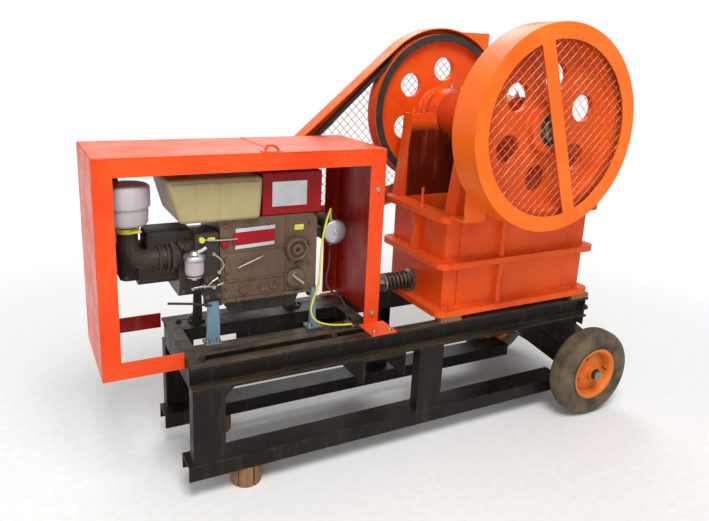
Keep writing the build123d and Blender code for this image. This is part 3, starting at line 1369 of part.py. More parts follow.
def foot_outline(foot_x, lean):
    """Draws a foot: a plate on the bearer and a web that leans in under the block."""
    head_x = foot_x + lean
    with BuildSketch() as outline:
        with BuildLine():
            Polyline(
                (x_at(foot_x - FOOT_WIDTH / 2), RAIL_TOP_Z),
                (x_at(foot_x + FOOT_WIDTH / 2), RAIL_TOP_Z),
                (x_at(foot_x + FOOT_WIDTH / 2), RAIL_TOP_Z + FOOT_PLATE),
                (x_at(foot_x + FOOT_WEB / 2), RAIL_TOP_Z + FOOT_PLATE),
                (x_at(head_x + FOOT_WEB / 2), BLOCK_BOTTOM_Z),
                (x_at(head_x - FOOT_WEB / 2), BLOCK_BOTTOM_Z),
                (x_at(foot_x - FOOT_WEB / 2), RAIL_TOP_Z + FOOT_PLATE),
                (x_at(foot_x - FOOT_WIDTH / 2), RAIL_TOP_Z + FOOT_PLATE),
                close=True,
            )
        make_face()
    return outline.sketch


NEAR_FOOT_Y = BEARER_NEAR_Y + 45.0
FAR_FOOT_Y = BEARER_FAR_Y + 20.0

with BuildPart() as engine_feet:
    for foot_y in (NEAR_FOOT_Y, FAR_FOOT_Y):
        with BuildSketch(Plane.XZ.offset(-y_at(foot_y))):
            add(foot_outline(BLOCK_START_X + 10 - FOOT_SPREAD, FOOT_SPREAD))
            add(foot_outline(BLOCK_END_X - 46 + FOOT_SPREAD, -FOOT_SPREAD))
        extrude(amount=FOOT_DEPTH / 2, both=True)
engine_feet.part.label = "engine_feet"
export_step(engine_feet.part, "parts/engine_feet.step")

# On the block: fuel tank, water hopper, air filter, muffler, generator, fuel filter
TANK_NEAR_Y = -92.0
TANK_FAR_Y = 180.0
TANK_TOP_Z = BLOCK_TOP_Z + 153.0
TANK_START_X = BLOCK_START_X - 189.0
TANK_END_X = BLOCK_START_X + 152.0
TANK_FOOT_X = BLOCK_START_X - 145.0
HOPPER_END_X = BLOCK_END_X + 19.0
HOPPER_NEAR_Y = -64.0
HOPPER_DEPTH = 240.0
HOPPER_TOP_Z = BLOCK_TOP_Z + 161.0
HOPPER_GAP = 4.0

with BuildPart() as fuel_tank:
    with BuildSketch(Plane.XZ.offset(-y_at(TANK_NEAR_Y))):
        with BuildLine():
            Polyline(
                (x_at(TANK_FOOT_X), BLOCK_TOP_Z),
                (x_at(TANK_END_X - 10), BLOCK_TOP_Z),
                (x_at(TANK_END_X), TANK_TOP_Z),
                (x_at(TANK_START_X), TANK_TOP_Z),
                close=True,
            )
        make_face()
        fillet(vertices().group_by(Axis.Y)[-1], 14)
    extrude(amount=-(TANK_FAR_Y - TANK_NEAR_Y))
fuel_tank.part.label = "fuel_tank"
export_step(fuel_tank.part, "parts/fuel_tank.step")

with BuildPart() as water_hopper:
    with BuildSketch(Plane.XZ.offset(-y_at(HOPPER_NEAR_Y))):
        with Locations((x_at(TANK_END_X + HOPPER_GAP), BLOCK_TOP_Z)):
            Rectangle(
                HOPPER_END_X - TANK_END_X - HOPPER_GAP,
                HOPPER_TOP_Z - BLOCK_TOP_Z,
                align=(Align.MIN, Align.MIN),
            )
    extrude(amount=-HOPPER_DEPTH)
water_hopper.part.label = "water_hopper"
export_step(water_hopper.part, "parts/water_hopper.step")

# Air filter and muffler: upright drums beyond the head, joined to it by elbows
FILTER_X = BLOCK_START_X - 308.0
FILTER_Y = -40.0
FILTER_RADIUS = 77.0
FILTER_BOTTOM_Z = CRANK_Z + 133.0
FILTER_HEIGHT = 142.0
INTAKE_Z = CRANK_Z + 8.0
INTAKE_RADIUS = 34.0
MUFFLER_X = BLOCK_START_X - 321.0
MUFFLER_Y = 176.0
MUFFLER_RADIUS = 70.0
MUFFLER_BOTTOM_Z = CRANK_Z + 26.0
MUFFLER_HEIGHT = 205.0
EXHAUST_PIPE_RADIUS = 24.0
OUTLET_NECK = 22.0
OUTLET_Z = CRANK_Z + 282.0
OUTLET_END_Y = 270.0

with BuildPart() as air_filter:
    with BuildSketch(Plane.XY.offset(FILTER_BOTTOM_Z)):
        with Locations((x_at(FILTER_X), y_at(FILTER_Y))):
            RegularPolygon(FILTER_RADIUS, WHEEL_SIDES)
    extrude(amount=FILTER_HEIGHT)
air_filter.part.label = "air_filter"
export_step(air_filter.part, "parts/air_filter.step")

with BuildPart() as exhaust_muffler:
    with BuildSketch(Plane.XY.offset(MUFFLER_BOTTOM_Z)):
        with Locations((x_at(MUFFLER_X), y_at(MUFFLER_Y))):
            RegularPolygon(MUFFLER_RADIUS, WHEEL_SIDES)
    extrude(amount=MUFFLER_HEIGHT)
    exhaust_route = (
        (x_at(MUFFLER_X), y_at(MUFFLER_Y), MUFFLER_BOTTOM_Z),
        (x_at(MUFFLER_X), y_at(MUFFLER_Y), PIPE_Z),
        (x_at(HEAD_START_X - PORT_SIZE / 2), y_at(MUFFLER_Y), PIPE_Z),
    )
    add(bent_pipe(exhaust_route, 45, EXHAUST_PIPE_RADIUS))
exhaust_muffler.part.label = "exhaust_muffler"
export_step(exhaust_muffler.part, "parts/exhaust_muffler.step")

# Dark elbows: the intake under the air filter and the outlet above the muffler
with BuildPart() as engine_pipes:
    intake_route = (
        (x_at(FILTER_X), y_at(FILTER_Y), FILTER_BOTTOM_Z),
        (x_at(FILTER_X), y_at(FILTER_Y), INTAKE_Z),
        (x_at(HEAD_START_X), y_at(FILTER_Y), INTAKE_Z),
    )
    add(bent_pipe(intake_route, 60, INTAKE_RADIUS))
    outlet_route = (
        (x_at(MUFFLER_X), y_at(MUFFLER_Y), MUFFLER_BOTTOM_Z + MUFFLER_HEIGHT),
        (x_at(MUFFLER_X), y_at(MUFFLER_Y), OUTLET_Z),
        (x_at(MUFFLER_X), y_at(OUTLET_END_Y), OUTLET_Z),
    )
    add(bent_pipe(outlet_route, 40, OUTLET_NECK))
engine_pipes.part.label = "engine_pipes"
export_step(engine_pipes.part, "parts/engine_pipes.step")

# Earth cable and starter cable: thin limp wires from the generator to studs on the bearer
CABLE_DIAMETER = 8.0
BEND_SHARE = 0.45
STUD_HEIGHT = 12.0
STUD_RADIUS = 9.0
YELLOW_ROUTE = (
    (614, 0, 924),
    (614, 0, 957),
    (598, -32, 977),
    (574, -58, 952),
    (550, -78, 905),
    (538, -84, 840),
    (533, -88, 760),
    (532, -84, 690),
    (505, -90, 630),
    (492, -98, 590),
    (510, -108, 552),
    (560, -118, 534),
    (615, -128, 528),
    (662, -134, 528),
)
BLACK_ROUTE = (
    (620, 10, 816),
    (620, 10, 780),
    (600, -30, 742),
    (572, -56, 698),
    (580, -70, 660),
    (612, -78, 640),
    (640, -84, 612),
    (650, -90, 570),
    (656, -96, 528),
)

GENERATOR_X = BLOCK_END_X + 106.0
GENERATOR_Z = CRANK_Z + 28.0
GENERATOR_RADIUS = 51.0
GENERATOR_NEAR_Y = -17.0
GENERATOR_LENGTH = 150.0
TERMINAL_SIZE = 14.0

with BuildPart() as generator:
    with BuildSketch(Plane.XZ.offset(-y_at(GENERATOR_NEAR_Y))):
        with Locations((x_at(GENERATOR_X), GENERATOR_Z)):
            RegularPolygon(GENERATOR_RADIUS, WHEEL_SIDES)
    extrude(amount=-GENERATOR_LENGTH)
    with BuildSketch(Plane.XZ.offset(-y_at(GENERATOR_NEAR_Y + 30))):
        with Locations((x_at(BLOCK_END_X), GENERATOR_Z)):
            Rectangle(GENERATOR_X - BLOCK_END_X, 40, align=(Align.MIN, Align.CENTER))
    extrude(amount=-60)
    for terminal_x, terminal_y, terminal_z in (YELLOW_ROUTE[0], BLACK_ROUTE[0]):
        with BuildSketch(Plane.XY.offset(GENERATOR_Z)):
            with Locations((x_at(terminal_x), y_at(terminal_y))):
                Rectangle(TERMINAL_SIZE, TERMINAL_SIZE)
        extrude(amount=terminal_z - GENERATOR_Z)
generator.part.label = "generator"
export_step(generator.part, "parts/generator.step")

FUEL_FILTER_X = BLOCK_START_X - 96.0
FUEL_FILTER_RADIUS = 36.0
FUEL_FILTER_Y = HEAD_Y - HEAD_WIDTH / 2 - FUEL_FILTER_RADIUS - 2.0
FUEL_FILTER_Z = CRANK_Z - 63.0
FUEL_FILTER_HEIGHT = 79.0
FUEL_BRACKET_HEIGHT = 18.0

with BuildPart() as fuel_filter:
    with BuildSketch(Plane.XY.offset(FUEL_FILTER_Z)):
        with Locations((x_at(FUEL_FILTER_X), y_at(FUEL_FILTER_Y))):
            RegularPolygon(FUEL_FILTER_RADIUS, PIPE_SIDES)
    extrude(amount=FUEL_FILTER_HEIGHT)
    with BuildSketch(Plane.XZ.offset(-y_at(HEAD_Y - HEAD_WIDTH / 2))):
        with Locations((x_at(FUEL_FILTER_X), FUEL_FILTER_Z + FUEL_FILTER_HEIGHT)):
            Rectangle(44, FUEL_BRACKET_HEIGHT, align=(Align.CENTER, Align.MAX))
    extrude(amount=FUEL_FILTER_RADIUS)
fuel_filter.part.label = "fuel_filter"
export_step(fuel_filter.part, "parts/fuel_filter.step")

def bend_radii(route):
    """Gives each corner the largest arc that leaves a tenth of its shorter run straight."""
    radii = []
    for before, here, after in zip(route, route[1:], route[2:]):
        run_in = Vector(*here) - Vector(*before)
        run_out = Vector(*after) - Vector(*here)
        half_turn = radians(run_in.get_angle(run_out)) / 2
        radii.append(BEND_SHARE * min(run_in.length, run_out.length) / tan(half_turn))
    return radii


def cable(route):
    """Sweeps a round cable along its route with an arc at every corner."""
    radii = bend_radii(route)
    print("tightest bend", round(min(radii), 1), "mm, in diameters", round(min(radii) / CABLE_DIAMETER, 1))
    with BuildPart() as tube:
        with BuildLine() as path:
            FilletPolyline(*[(x_at(x), y_at(y), z) for x, y, z in route], radius=radii)
        with BuildSketch(Plane(origin=path.line @ 0, z_dir=path.line % 0)):
            RegularPolygon(CABLE_DIAMETER / 2, 8)
        sweep()
    return tube.part


with BuildPart() as yellow_cable:
    add(cable(YELLOW_ROUTE))
yellow_cable.part.label = "yellow_cable"
export_step(yellow_cable.part, "parts/yellow_cable.step")

with BuildPart() as black_cable:
    add(cable(BLACK_ROUTE))
black_cable.part.label = "black_cable"
export_step(black_cable.part, "parts/black_cable.step")

with BuildPart() as cable_studs:
    for route in (YELLOW_ROUTE, BLACK_ROUTE):
        end_x, end_y, end_z = route[-1]
        with BuildSketch(Plane.XY.offset(RAIL_TOP_Z)):
            with Locations((x_at(end_x), y_at(end_y))):
                RegularPolygon(STUD_RADIUS, PIPE_SIDES)
        extrude(amount=STUD_HEIGHT)
cable_studs.part.label = "cable_studs"
export_step(cable_studs.part, "parts/cable_studs.step")

# Box round the engine: angle frame, roof, end wall and the wall towards the jaw
with BuildPart() as box_frame:
    for wall_y, inward in ((BOX_NEAR_Y, 1), (BOX_FAR_Y, -1)):
        with BuildSketch(Plane.XZ.offset(-y_at(wall_y))):
            with Locations((x_at(BOX_START_X), BOX_TOP_Z)):
                Rectangle(
                    BOX_END_X - BOX_START_X,
                    BOX_TOP_Z - BOX_BOTTOM_Z,
                    align=(Align.MIN, Align.MAX),
                )
            with Locations((x_at(BOX_START_X + BOX_ANGLE), BOX_TOP_Z - BOX_ANGLE)):
                Rectangle(
                    BOX_END_X - BOX_START_X - 2 * BOX_ANGLE,
                    BOX_TOP_Z - BOX_BOTTOM_Z,
                    align=(Align.MIN, Align.MAX),
                    mode=Mode.SUBTRACT,
                )
            with Locations((x_at(BOX_END_X), RAIL_TOP_Z + 6)):
                Rectangle(BOX_ANGLE, 200, align=(Align.MAX, Align.MAX), mode=Mode.SUBTRACT)
            with Locations((x_at(BOX_START_X + BOX_ANGLE), BOX_BOTTOM_Z)):
                Rectangle(-BOX_START_X - BOX_ANGLE, BOX_ANGLE, align=(Align.MIN, Align.MIN))
        extrude(amount=-inward * SHEET)
box_frame.part.label = "box_frame"
export_step(box_frame.part, "parts/box_frame.step")

# Feet of the two posts towards the jaw, which lie on the rails
BOX_FOOT_LENGTH = 110.0
BOX_FOOT_THICKNESS = 6.0
BOX_FOOT_OVERHANG = 30.0

with BuildPart() as box_feet:
    for side, wall_y in ((-1, BOX_NEAR_Y), (1, BOX_FAR_Y - 30)):
        with BuildSketch(Plane.XY.offset(RAIL_TOP_Z)):
            with Locations((x_at(BOX_END_X + BOX_FOOT_OVERHANG), y_at(side * HALF_FRAME))):
                Rectangle(
                    BOX_FOOT_LENGTH,
                    HALF_FRAME - abs(wall_y) + SHEET + 2,
                    align=(Align.MAX, Align.MAX if side > 0 else Align.MIN),
                )
        extrude(amount=BOX_FOOT_THICKNESS)
box_feet.part.label = "box_feet"
export_step(box_feet.part, "parts/box_feet.step")

with BuildPart() as box_roof:
    with BuildSketch(Plane.XY.offset(BOX_TOP_Z)):
        with Locations((x_at(BOX_START_X), y_at(BOX_NEAR_Y))):
            Rectangle(
                BOX_END_X - BOX_START_X,
                BOX_FAR_Y - BOX_NEAR_Y,
                align=(Align.MIN, Align.MIN),
            )
    extrude(amount=BOX_SHEET)
box_roof.part.label = "box_roof"
export_step(box_roof.part, "parts/box_roof.step")

with BuildPart() as box_walls:
    with BuildSketch(Plane.YZ.offset(x_at(BOX_START_X))):
        with Locations((y_at(BOX_NEAR_Y), BOX_BOTTOM_Z)):
            Rectangle(
                BOX_FAR_Y - BOX_NEAR_Y,
                BOX_TOP_Z - BOX_BOTTOM_Z,
                align=(Align.MIN, Align.MIN),
            )
    extrude(amount=-BOX_SHEET)
    with BuildSketch(Plane.YZ.offset(x_at(BOX_END_X))):
        with Locations((y_at(BOX_NEAR_Y), RAIL_TOP_Z + 6)):
            Rectangle(
                BOX_FAR_Y - BOX_NEAR_Y,
                BOX_TOP_Z - RAIL_TOP_Z - 6,
                align=(Align.MIN, Align.MIN),
            )
    extrude(amount=BOX_SHEET)
box_walls.part.label = "box_walls"
export_step(box_walls.part, "parts/box_walls.step")


# Discharge: an apron plate across the rail ends and a sloping chute with side walls
CHUTE_HALF = INNER_HALF + RAIL_WEB - BRACKET_THICKNESS

with BuildPart() as apron_plate:
    with BuildSketch(Plane.YZ.offset(x_at(FRAME_LENGTH))):
        with Locations((MID_Y, RAIL_TOP_Z)):
            Rectangle(2 * APRON_HALF_WIDTH, APRON_HEIGHT, align=(Align.CENTER, Align.MAX))
    extrude(amount=SHEET)
apron_plate.part.label = "apron_plate"
export_step(apron_plate.part, "parts/apron_plate.step")

FLOOR_TIP_X = CHUTE_TIP_X - CHUTE_WALL_HEIGHT * sin(CHUTE_SLOPE)
FLOOR_RUN = (FLOOR_TIP_X - CHUTE_START_X) / cos(CHUTE_SLOPE)


def chute_plane(side_y):
    """Gives an upright plane whose x runs up the chute's floor from its tip."""
    return Plane(
        origin=(x_at(FLOOR_TIP_X), side_y, CHUTE_TIP_Z),
        x_dir=(-cos(CHUTE_SLOPE), 0, sin(CHUTE_SLOPE)),
        z_dir=(0, 1, 0),
    )


with BuildPart() as discharge_chute:
    with BuildSketch(chute_plane(y_at(-CHUTE_HALF))):
        Rectangle(FLOOR_RUN, CHUTE_WALL_HEIGHT, align=(Align.MIN, Align.MIN))
    extrude(amount=2 * CHUTE_HALF)
    with BuildSketch(chute_plane(y_at(-CHUTE_HALF + CHUTE_WALL))):
        with Locations((-1, CHUTE_WALL)):
            Rectangle(FLOOR_RUN + 2, CHUTE_WALL_HEIGHT, align=(Align.MIN, Align.MIN))
    extrude(amount=2 * (CHUTE_HALF - CHUTE_WALL), mode=Mode.SUBTRACT)
discharge_chute.part.label = "discharge_chute"
export_step(discharge_chute.part, "parts/discharge_chute.step")
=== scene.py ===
# %% [markdown]
# # Dressing a wheeled jaw crusher
# The construction comes ready from CAD: every plate, wheel and casting is already at its real size.
# This lesson gives it its looks. Each step first says what the piece or finish is on the real
# machine, then how it could be made, and why the way below was chosen.

# %% Load the machine
import json
from math import cos, pi, radians, sin

import bpy
from mathutils import Matrix, Vector


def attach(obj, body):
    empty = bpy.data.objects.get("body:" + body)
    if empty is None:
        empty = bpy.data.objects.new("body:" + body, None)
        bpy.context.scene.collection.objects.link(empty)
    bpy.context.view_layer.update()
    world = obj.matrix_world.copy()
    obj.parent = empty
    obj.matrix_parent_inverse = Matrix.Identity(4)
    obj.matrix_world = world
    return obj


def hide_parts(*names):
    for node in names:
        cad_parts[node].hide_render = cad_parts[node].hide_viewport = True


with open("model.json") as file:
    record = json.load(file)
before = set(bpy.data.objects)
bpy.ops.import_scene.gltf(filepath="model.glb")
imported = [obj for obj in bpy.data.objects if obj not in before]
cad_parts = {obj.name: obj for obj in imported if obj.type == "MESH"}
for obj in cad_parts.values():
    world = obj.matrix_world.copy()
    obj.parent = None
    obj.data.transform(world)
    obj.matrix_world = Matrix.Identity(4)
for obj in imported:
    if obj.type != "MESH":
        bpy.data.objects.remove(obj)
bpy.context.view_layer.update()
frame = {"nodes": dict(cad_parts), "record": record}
nodes = frame["nodes"]

# %% [markdown]
# ## The camera
# The photograph was taken from the engine end, from a little above the engine box. A camera could
# be aimed with a constraint, but a matrix made from three angles says the same thing in one place.
# The lens and the small shifts crop the view tightly round the machine.

# %% Camera
AZIMUTH = radians(-27.37)
ELEVATION = radians(14.60)
ROLL = radians(2.245)
EYE = Vector((-1.3496, -2.195, 1.5596))
PICTURE_WIDTH = 709
ENLARGED = 2.1
FOCAL_LENGTH, SHIFT_RIGHT, SHIFT_UP = 313.2, 6.4, -18.2  # pixels, before the view is enlarged

back = Vector((sin(AZIMUTH) * cos(ELEVATION), -cos(AZIMUTH) * cos(ELEVATION), sin(ELEVATION)))
level = Vector((cos(AZIMUTH), sin(AZIMUTH), 0))
upright = back.cross(level)
right = cos(ROLL) * level + sin(ROLL) * upright
up = cos(ROLL) * upright - sin(ROLL) * level

camera = bpy.data.objects.new("camera", bpy.data.cameras.new("camera"))
bpy.context.scene.collection.objects.link(camera)
camera.matrix_world = Matrix((right, up, back)).transposed().to_4x4()
camera.matrix_world.translation = EYE
camera.data.sensor_width = 36
camera.data.lens = FOCAL_LENGTH * ENLARGED / PICTURE_WIDTH * camera.data.sensor_width
camera.data.shift_x = SHIFT_RIGHT * ENLARGED / PICTURE_WIDTH
camera.data.shift_y = SHIFT_UP * ENLARGED / PICTURE_WIDTH
camera.data.clip_end = 100
bpy.context.scene.camera = camera
print("lens", round(camera.data.lens, 1), "mm")

# %% [markdown]
# ## Two cables
# A yellow earth cable and a black starter cable leave the generator, hang down beside the block and
# end on two studs on the engine bearer. A real cable takes smooth curves, because it is stiff
# against sharp bends. A spline that only passes near its control points does the same, so a few
# points are enough. The cables come first, because everything else has to leave them room.

# %% Cables
ORIGIN_X, ORIGIN_Y = 856.5, -33.5


def at(x, y, z):
    """A place in millimetres from the rails' end, the frame's middle plane and the ground."""
    return Vector(((x - ORIGIN_X) / 1000, (y - ORIGIN_Y) / 1000, z / 1000))


CABLE_RADIUS = 0.004
yellow_points = (
    (614, 0, 924), (614, 0, 957), (598, -32, 977), (574, -58, 952), (550, -78, 905),
    (538, -84, 840), (533, -88, 760), (532, -84, 690), (505, -90, 630), (492, -98, 590),
    (510, -108, 552), (560, -118, 534), (615, -128, 528), (662, -134, 528),
)
black_points = (
    (620, 10, 816), (620, 10, 780), (600, -30, 742), (572, -56, 698), (580, -70, 660),
    (612, -78, 640), (640, -84, 612), (650, -90, 570), (656, -96, 528),
)


def cable(name, points):
    """A smooth cable that is drawn towards its control points."""
    curve = bpy.data.curves.new(name, "CURVE")
    curve.dimensions = "3D"
    curve.bevel_depth = CABLE_RADIUS
    curve.bevel_resolution = 3
    curve.use_fill_caps = True
    line = curve.splines.new("NURBS")
    line.points.add(len(points) - 1)
    for knot, point in zip(line.points, points):
        knot.co = (*at(*point), 1)
    line.order_u = 3
    line.use_endpoint_u = True
    line.resolution_u = 8
    piece = bpy.data.objects.new(name, curve)
    bpy.context.scene.collection.objects.link(piece)
    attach(piece, "machine")
    return piece


yellow_cable = cable("earth_cable", yellow_points)
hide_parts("yellow_cable")
black_cable = cable("starter_cable", black_points)
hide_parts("black_cable")
print("cables", len(yellow_points), "and", len(black_points), "points")

# %% [markdown]
# ## Nodes in short words
# A finish is a small network of nodes. Writing each one out by hand hides the idea behind plumbing,
# so a few helpers say in plain words what the networks below have in common: a noise, a band of it,
# a mix of two colours, and a relief that the light can catch.

# %% Helpers for finishes
def tint(red, green, blue):
    """A colour as seen on a screen, from 0 to 255, turned into the light that Blender counts in."""
    return tuple((part / 255) ** 2.2 for part in (red, green, blue)) + (1,)


class Finish:
    """A material being made: its network, its shader, and the place that every pattern follows."""

    def __init__(self, name, metallic=0.0, coat=0.0):
        self.material = bpy.data.materials.new(name)
        self.material.use_nodes = True
        self.network = self.material.node_tree
        self.shader = self.network.nodes["Principled BSDF"]
        self.fill(self.shader, {"Metallic": metallic, "Coat Weight": coat, "Coat Roughness": 0.12})
        self.place = self.add("ShaderNodeTexCoord").outputs["Object"]
        self.rounded = None

    def fill(self, node, inputs):
        """Sets each input of a node to a value, or links it to another node's output."""
        for name, value in inputs.items():
            if isinstance(value, bpy.types.NodeSocket):
                self.network.links.new(value, node.inputs[name])
            else:
                node.inputs[name].default_value = value

    def add(self, kind, inputs=None, **settings):
        """A new node with its settings and inputs."""
        node = self.network.nodes.new(kind)
        for name, value in settings.items():
            setattr(node, name, value)
        self.fill(node, inputs or {})
        return node

    def noise(self, scale, detail=3.0, roughness=0.55, stretch=None):
        """Cloudy values round one half; a stretch squeezes them along some axes."""
        place = self.place
        if stretch:
            mapping = self.add("ShaderNodeMapping", {"Vector": place, "Scale": stretch})
            place = mapping.outputs["Vector"]
        grain = {"Vector": place, "Scale": scale, "Detail": detail, "Roughness": roughness}
        return self.add("ShaderNodeTexNoise", grain).outputs["Fac"]

    def band(self, value, low, high, bottom=0.0, top=1.0):
        """A value between low and high turned into one between bottom and top."""
        limits = {"Value": value, "From Min": low, "From Max": high, "To Min": bottom,
                  "To Max": top}
        return self.add("ShaderNodeMapRange", limits).outputs["Result"]

    def math(self, first, second, operation="MULTIPLY"):
        """Two values multiplied, added or compared, and kept between 0 and 1."""
        return self.add("ShaderNodeMath", {0: first, 1: second}, operation=operation,
                        use_clamp=True).outputs[0]

    def mix(self, factor, first, second):
        """Two colours mixed, each a socket or red, green and blue as seen on a screen."""
        first, second = (tint(*color) if isinstance(color, tuple) else color
                         for color in (first, second))
        return self.add("ShaderNodeMix", {0: factor, 6: first, 7: second},
                        data_type="RGBA").outputs[2]

    def edges(self, radius):
        """1 along sharp corners and 0 on flat faces, and the rounded normal for the light."""
        self.rounded = self.add("ShaderNodeBevel", {"Radius": radius}, samples=4).outputs[0]
        flat = self.add("ShaderNodeNewGeometry").outputs["Normal"]
        dot = self.add("ShaderNodeVectorMath", {0: self.rounded, 1: flat}, operation="DOT_PRODUCT")
        return self.band(dot.outputs["Value"], 0.995, 0.86)

    def corners(self, reach):
        """1 deep in corners, where dirt stays, and 0 in the open."""
        shade = self.add("ShaderNodeAmbientOcclusion", {"Distance": reach}, samples=4)
        return self.band(shade.outputs["AO"], 0.75, 0.2)

    def share(self, vector, axis, low, high):
        """Goes from 0 to 1 between two values of one part of a vector."""
        return self.band(self.add("ShaderNodeSeparateXYZ", {0: vector}).outputs[axis], low, high)

    def facing_up(self):
        """1 on level faces that look up, where dust settles, and 0 on walls."""
        return self.share(self.add("ShaderNodeNewGeometry").outputs["Normal"], "Z", 0.7, 0.95)

    def beyond(self, axis, low, high):
        """Goes from 0 to 1 between two places along an axis, in metres."""
        return self.share(self.place, axis, low, high)

    def relief(self, height, depth):
        """Lets the light catch a pattern of that depth, on top of the rounded corners."""
        inputs = {"Strength": 1.0, "Distance": depth, "Height": height}
        if self.rounded:
            inputs["Normal"] = self.rounded
        self.fill(self.shader, {"Normal": self.add("ShaderNodeBump", inputs).outputs["Normal"]})

    def show(self, color, roughness):
        """Gives the shader its colour and roughness, and the material is ready."""
        self.fill(self.shader, {"Base Color": color, "Roughness": roughness})
        return self.material


# %% [markdown]
# ## Brushed and sprayed paint
# The guards, the box and the jaw are sprayed orange over rough steel. Three things make such paint
# look real: the colour drifts a little from place to place, the corners are worn to the primer or
# metal, and dust settles where plates meet. A texture picture could hold all that, but a network on
# Object coordinates fits every plate at once. The Bevel node rounds each sharp CAD corner for the
# light and also tells where the corners are, so the wear follows them.

# %% Paint
def painted(name, coat, shadow, chip, dust, gloss, texture, wear=0.6, grime=0.5, settled=0.25,
            zone=None, dusty_above=-1.0):
    """Old sprayed paint; texture is its grain and depth, and a zone mixes in a darker colour,
    mostly painted shade.
    """
    finish = Finish(name, coat=0.04 if gloss < 0.4 else 0.0)
    finish.shader.inputs["Specular IOR Level"].default_value = 0.22
    drift = finish.band(finish.noise(3.5, 5), 0.35, 0.68)
    color = finish.mix(drift, coat, shadow)
    # A zone mixes in its darker colour: painted shade inside the box, between the jaw walls and low
    # on the swing jaw, and the darker head end of the engine.
    if zone:
        color = finish.mix(zone[0](finish), color, zone[1])
    lying = finish.band(finish.noise(5, 6, 0.68, (0.8, 5, 5)), 0.38, 0.62, 0.15, 1)
    lying = finish.math(lying, finish.beyond("Z", dusty_above, dusty_above + 0.1))
    color = finish.mix(finish.math(finish.math(finish.facing_up(), lying), settled), color, dust)
    streaks = finish.band(finish.noise(6, 4, 0.6, (5, 5, 0.6)), 0.52, 0.75, 0, grime * 0.45)
    color = finish.mix(streaks, color, dust)
    dirt = finish.math(finish.corners(0.05), finish.band(finish.noise(14, 4), 0.3, 0.6))
    color = finish.mix(finish.math(dirt, grime), color, dust)
    patches = finish.band(finish.noise(38, 5, 0.7), 0.48, 0.56)
    worn = finish.math(finish.math(finish.edges(0.0035), patches), wear)
    scratches = finish.band(finish.noise(9, 6, 0.72, (1, 1, 7)), 0.685, 0.72, 0, wear * 0.7)
    bare = finish.math(worn, scratches, "MAXIMUM")
    color = finish.mix(bare, color, chip)
    finish.relief(finish.noise(texture[0], 4, 0.6), texture[1])
    rough = finish.band(finish.noise(11, 4), 0.3, 0.7, gloss - 0.08, gloss + 0.14)
    return finish.show(color, finish.math(rough, finish.math(bare, 0.25), "ADD"))


# %% Zones of painted shade, and the darker head end of the engine
def within(finish, *limits):
    """1 where a place is beyond all of some (axis, low, high) limits, and 0 elsewhere."""
    share = 1.0
    for limit in limits:
        share = finish.math(share, finish.beyond(*limit))
    return share


def shaded_box_inside(finish):
    """Painted shade on the wall between box and jaw and on the inner faces of the far side."""
    wall = within(finish, ("X", -0.094, -0.090), ("Y", -0.092, -0.088), ("Y", 0.279, 0.275))
    inner = within(finish, ("Y", 0.2815, 0.2825), ("Y", 0.2865, 0.2855))
    return finish.math(wall, inner, "MAXIMUM")


def shaded_between_walls(finish):
    """Painted shade on the inner faces of the jaw's side walls behind the moving jaw, where shade
    always falls.
    """
    return within(finish, ("Y", 0.2015, 0.1985), ("Y", -0.1345, -0.1315), ("X", 0.200, 0.206),
                  ("X", 0.66, 0.64), ("Z", 0.9525, 0.9535), ("Z", 1.28, 1.235))


def head_side(finish):
    """The end of the engine with the head."""
    return finish.math(finish.beyond("X", -0.700, -0.712), 0.75)


# %% The paints of this machine
finishes = {
    "orange_guard": painted(
        "guard paint", (246, 114, 34), (232, 96, 24), (96, 50, 30), (178, 104, 62), 0.33,
        (160, 0.0006)),
    # The jaw paint turns dark brown between the walls as painted shade.
    "red_jaw": painted(
        "jaw paint", (238, 92, 28), (216, 68, 16), (98, 50, 34), (172, 92, 58), 0.40, (95, 0.0016),
        wear=0.8, grime=0.7, settled=0.3, zone=(shaded_between_walls, (88, 28, 15))),
    # The box paint turns deep red as painted shade on the wall by the jaw and on the far inner
    # faces.
    "orange_box": painted(
        "box paint", (236, 80, 28), (222, 62, 18), (188, 126, 84), (200, 112, 76), 0.32,
        (120, 0.0006), wear=1.0, settled=0.4, zone=(shaded_box_inside, (158, 22, 12))),
    "black_paint": painted(
        "frame paint", (30, 24, 19), (18, 15, 12), (104, 84, 64), (100, 86, 70), 0.42,
        (110, 0.0010), wear=0.8, grime=0.35, settled=0.65, dusty_above=0.35),
    "orange_rim": painted(
        "wheel rim paint", (226, 124, 44), (206, 100, 32), (128, 96, 72), (150, 100, 62), 0.38,
        (180, 0.0006), wear=0.5, grime=0.6),
    "tank_green": painted(
        "tank paint", (172, 156, 114), (150, 136, 98), (96, 90, 72), (116, 108, 84), 0.42,
        (240, 0.0004), wear=0.5),
    "hopper_red": painted(
        "hopper paint", (158, 14, 30), (128, 8, 20), (86, 44, 40), (98, 38, 36), 0.32,
        (220, 0.0005), grime=0.45),
    "engine_iron": painted(
        "engine paint", (108, 86, 70), (86, 68, 56), (156, 140, 122), (50, 40, 32), 0.38,
        (150, 0.0014), grime=0.8, settled=0.3, zone=(head_side, (42, 34, 28))),
    "blue_paint": painted(
        "mount paint", (120, 148, 162), (92, 120, 136), (80, 74, 66), (92, 92, 86), 0.45,
        (150, 0.0008), wear=0.7, grime=0.6),
}
print("paints", len(finishes))

# %% [markdown]
# ## Bare metal, sheet and wire
# Silver parts, the shaft and the chute show metal. Metal is told by its highlights, so most of the
# work goes into the roughness: fine streaks on what was turned, blotches on cast and rolled sheet.

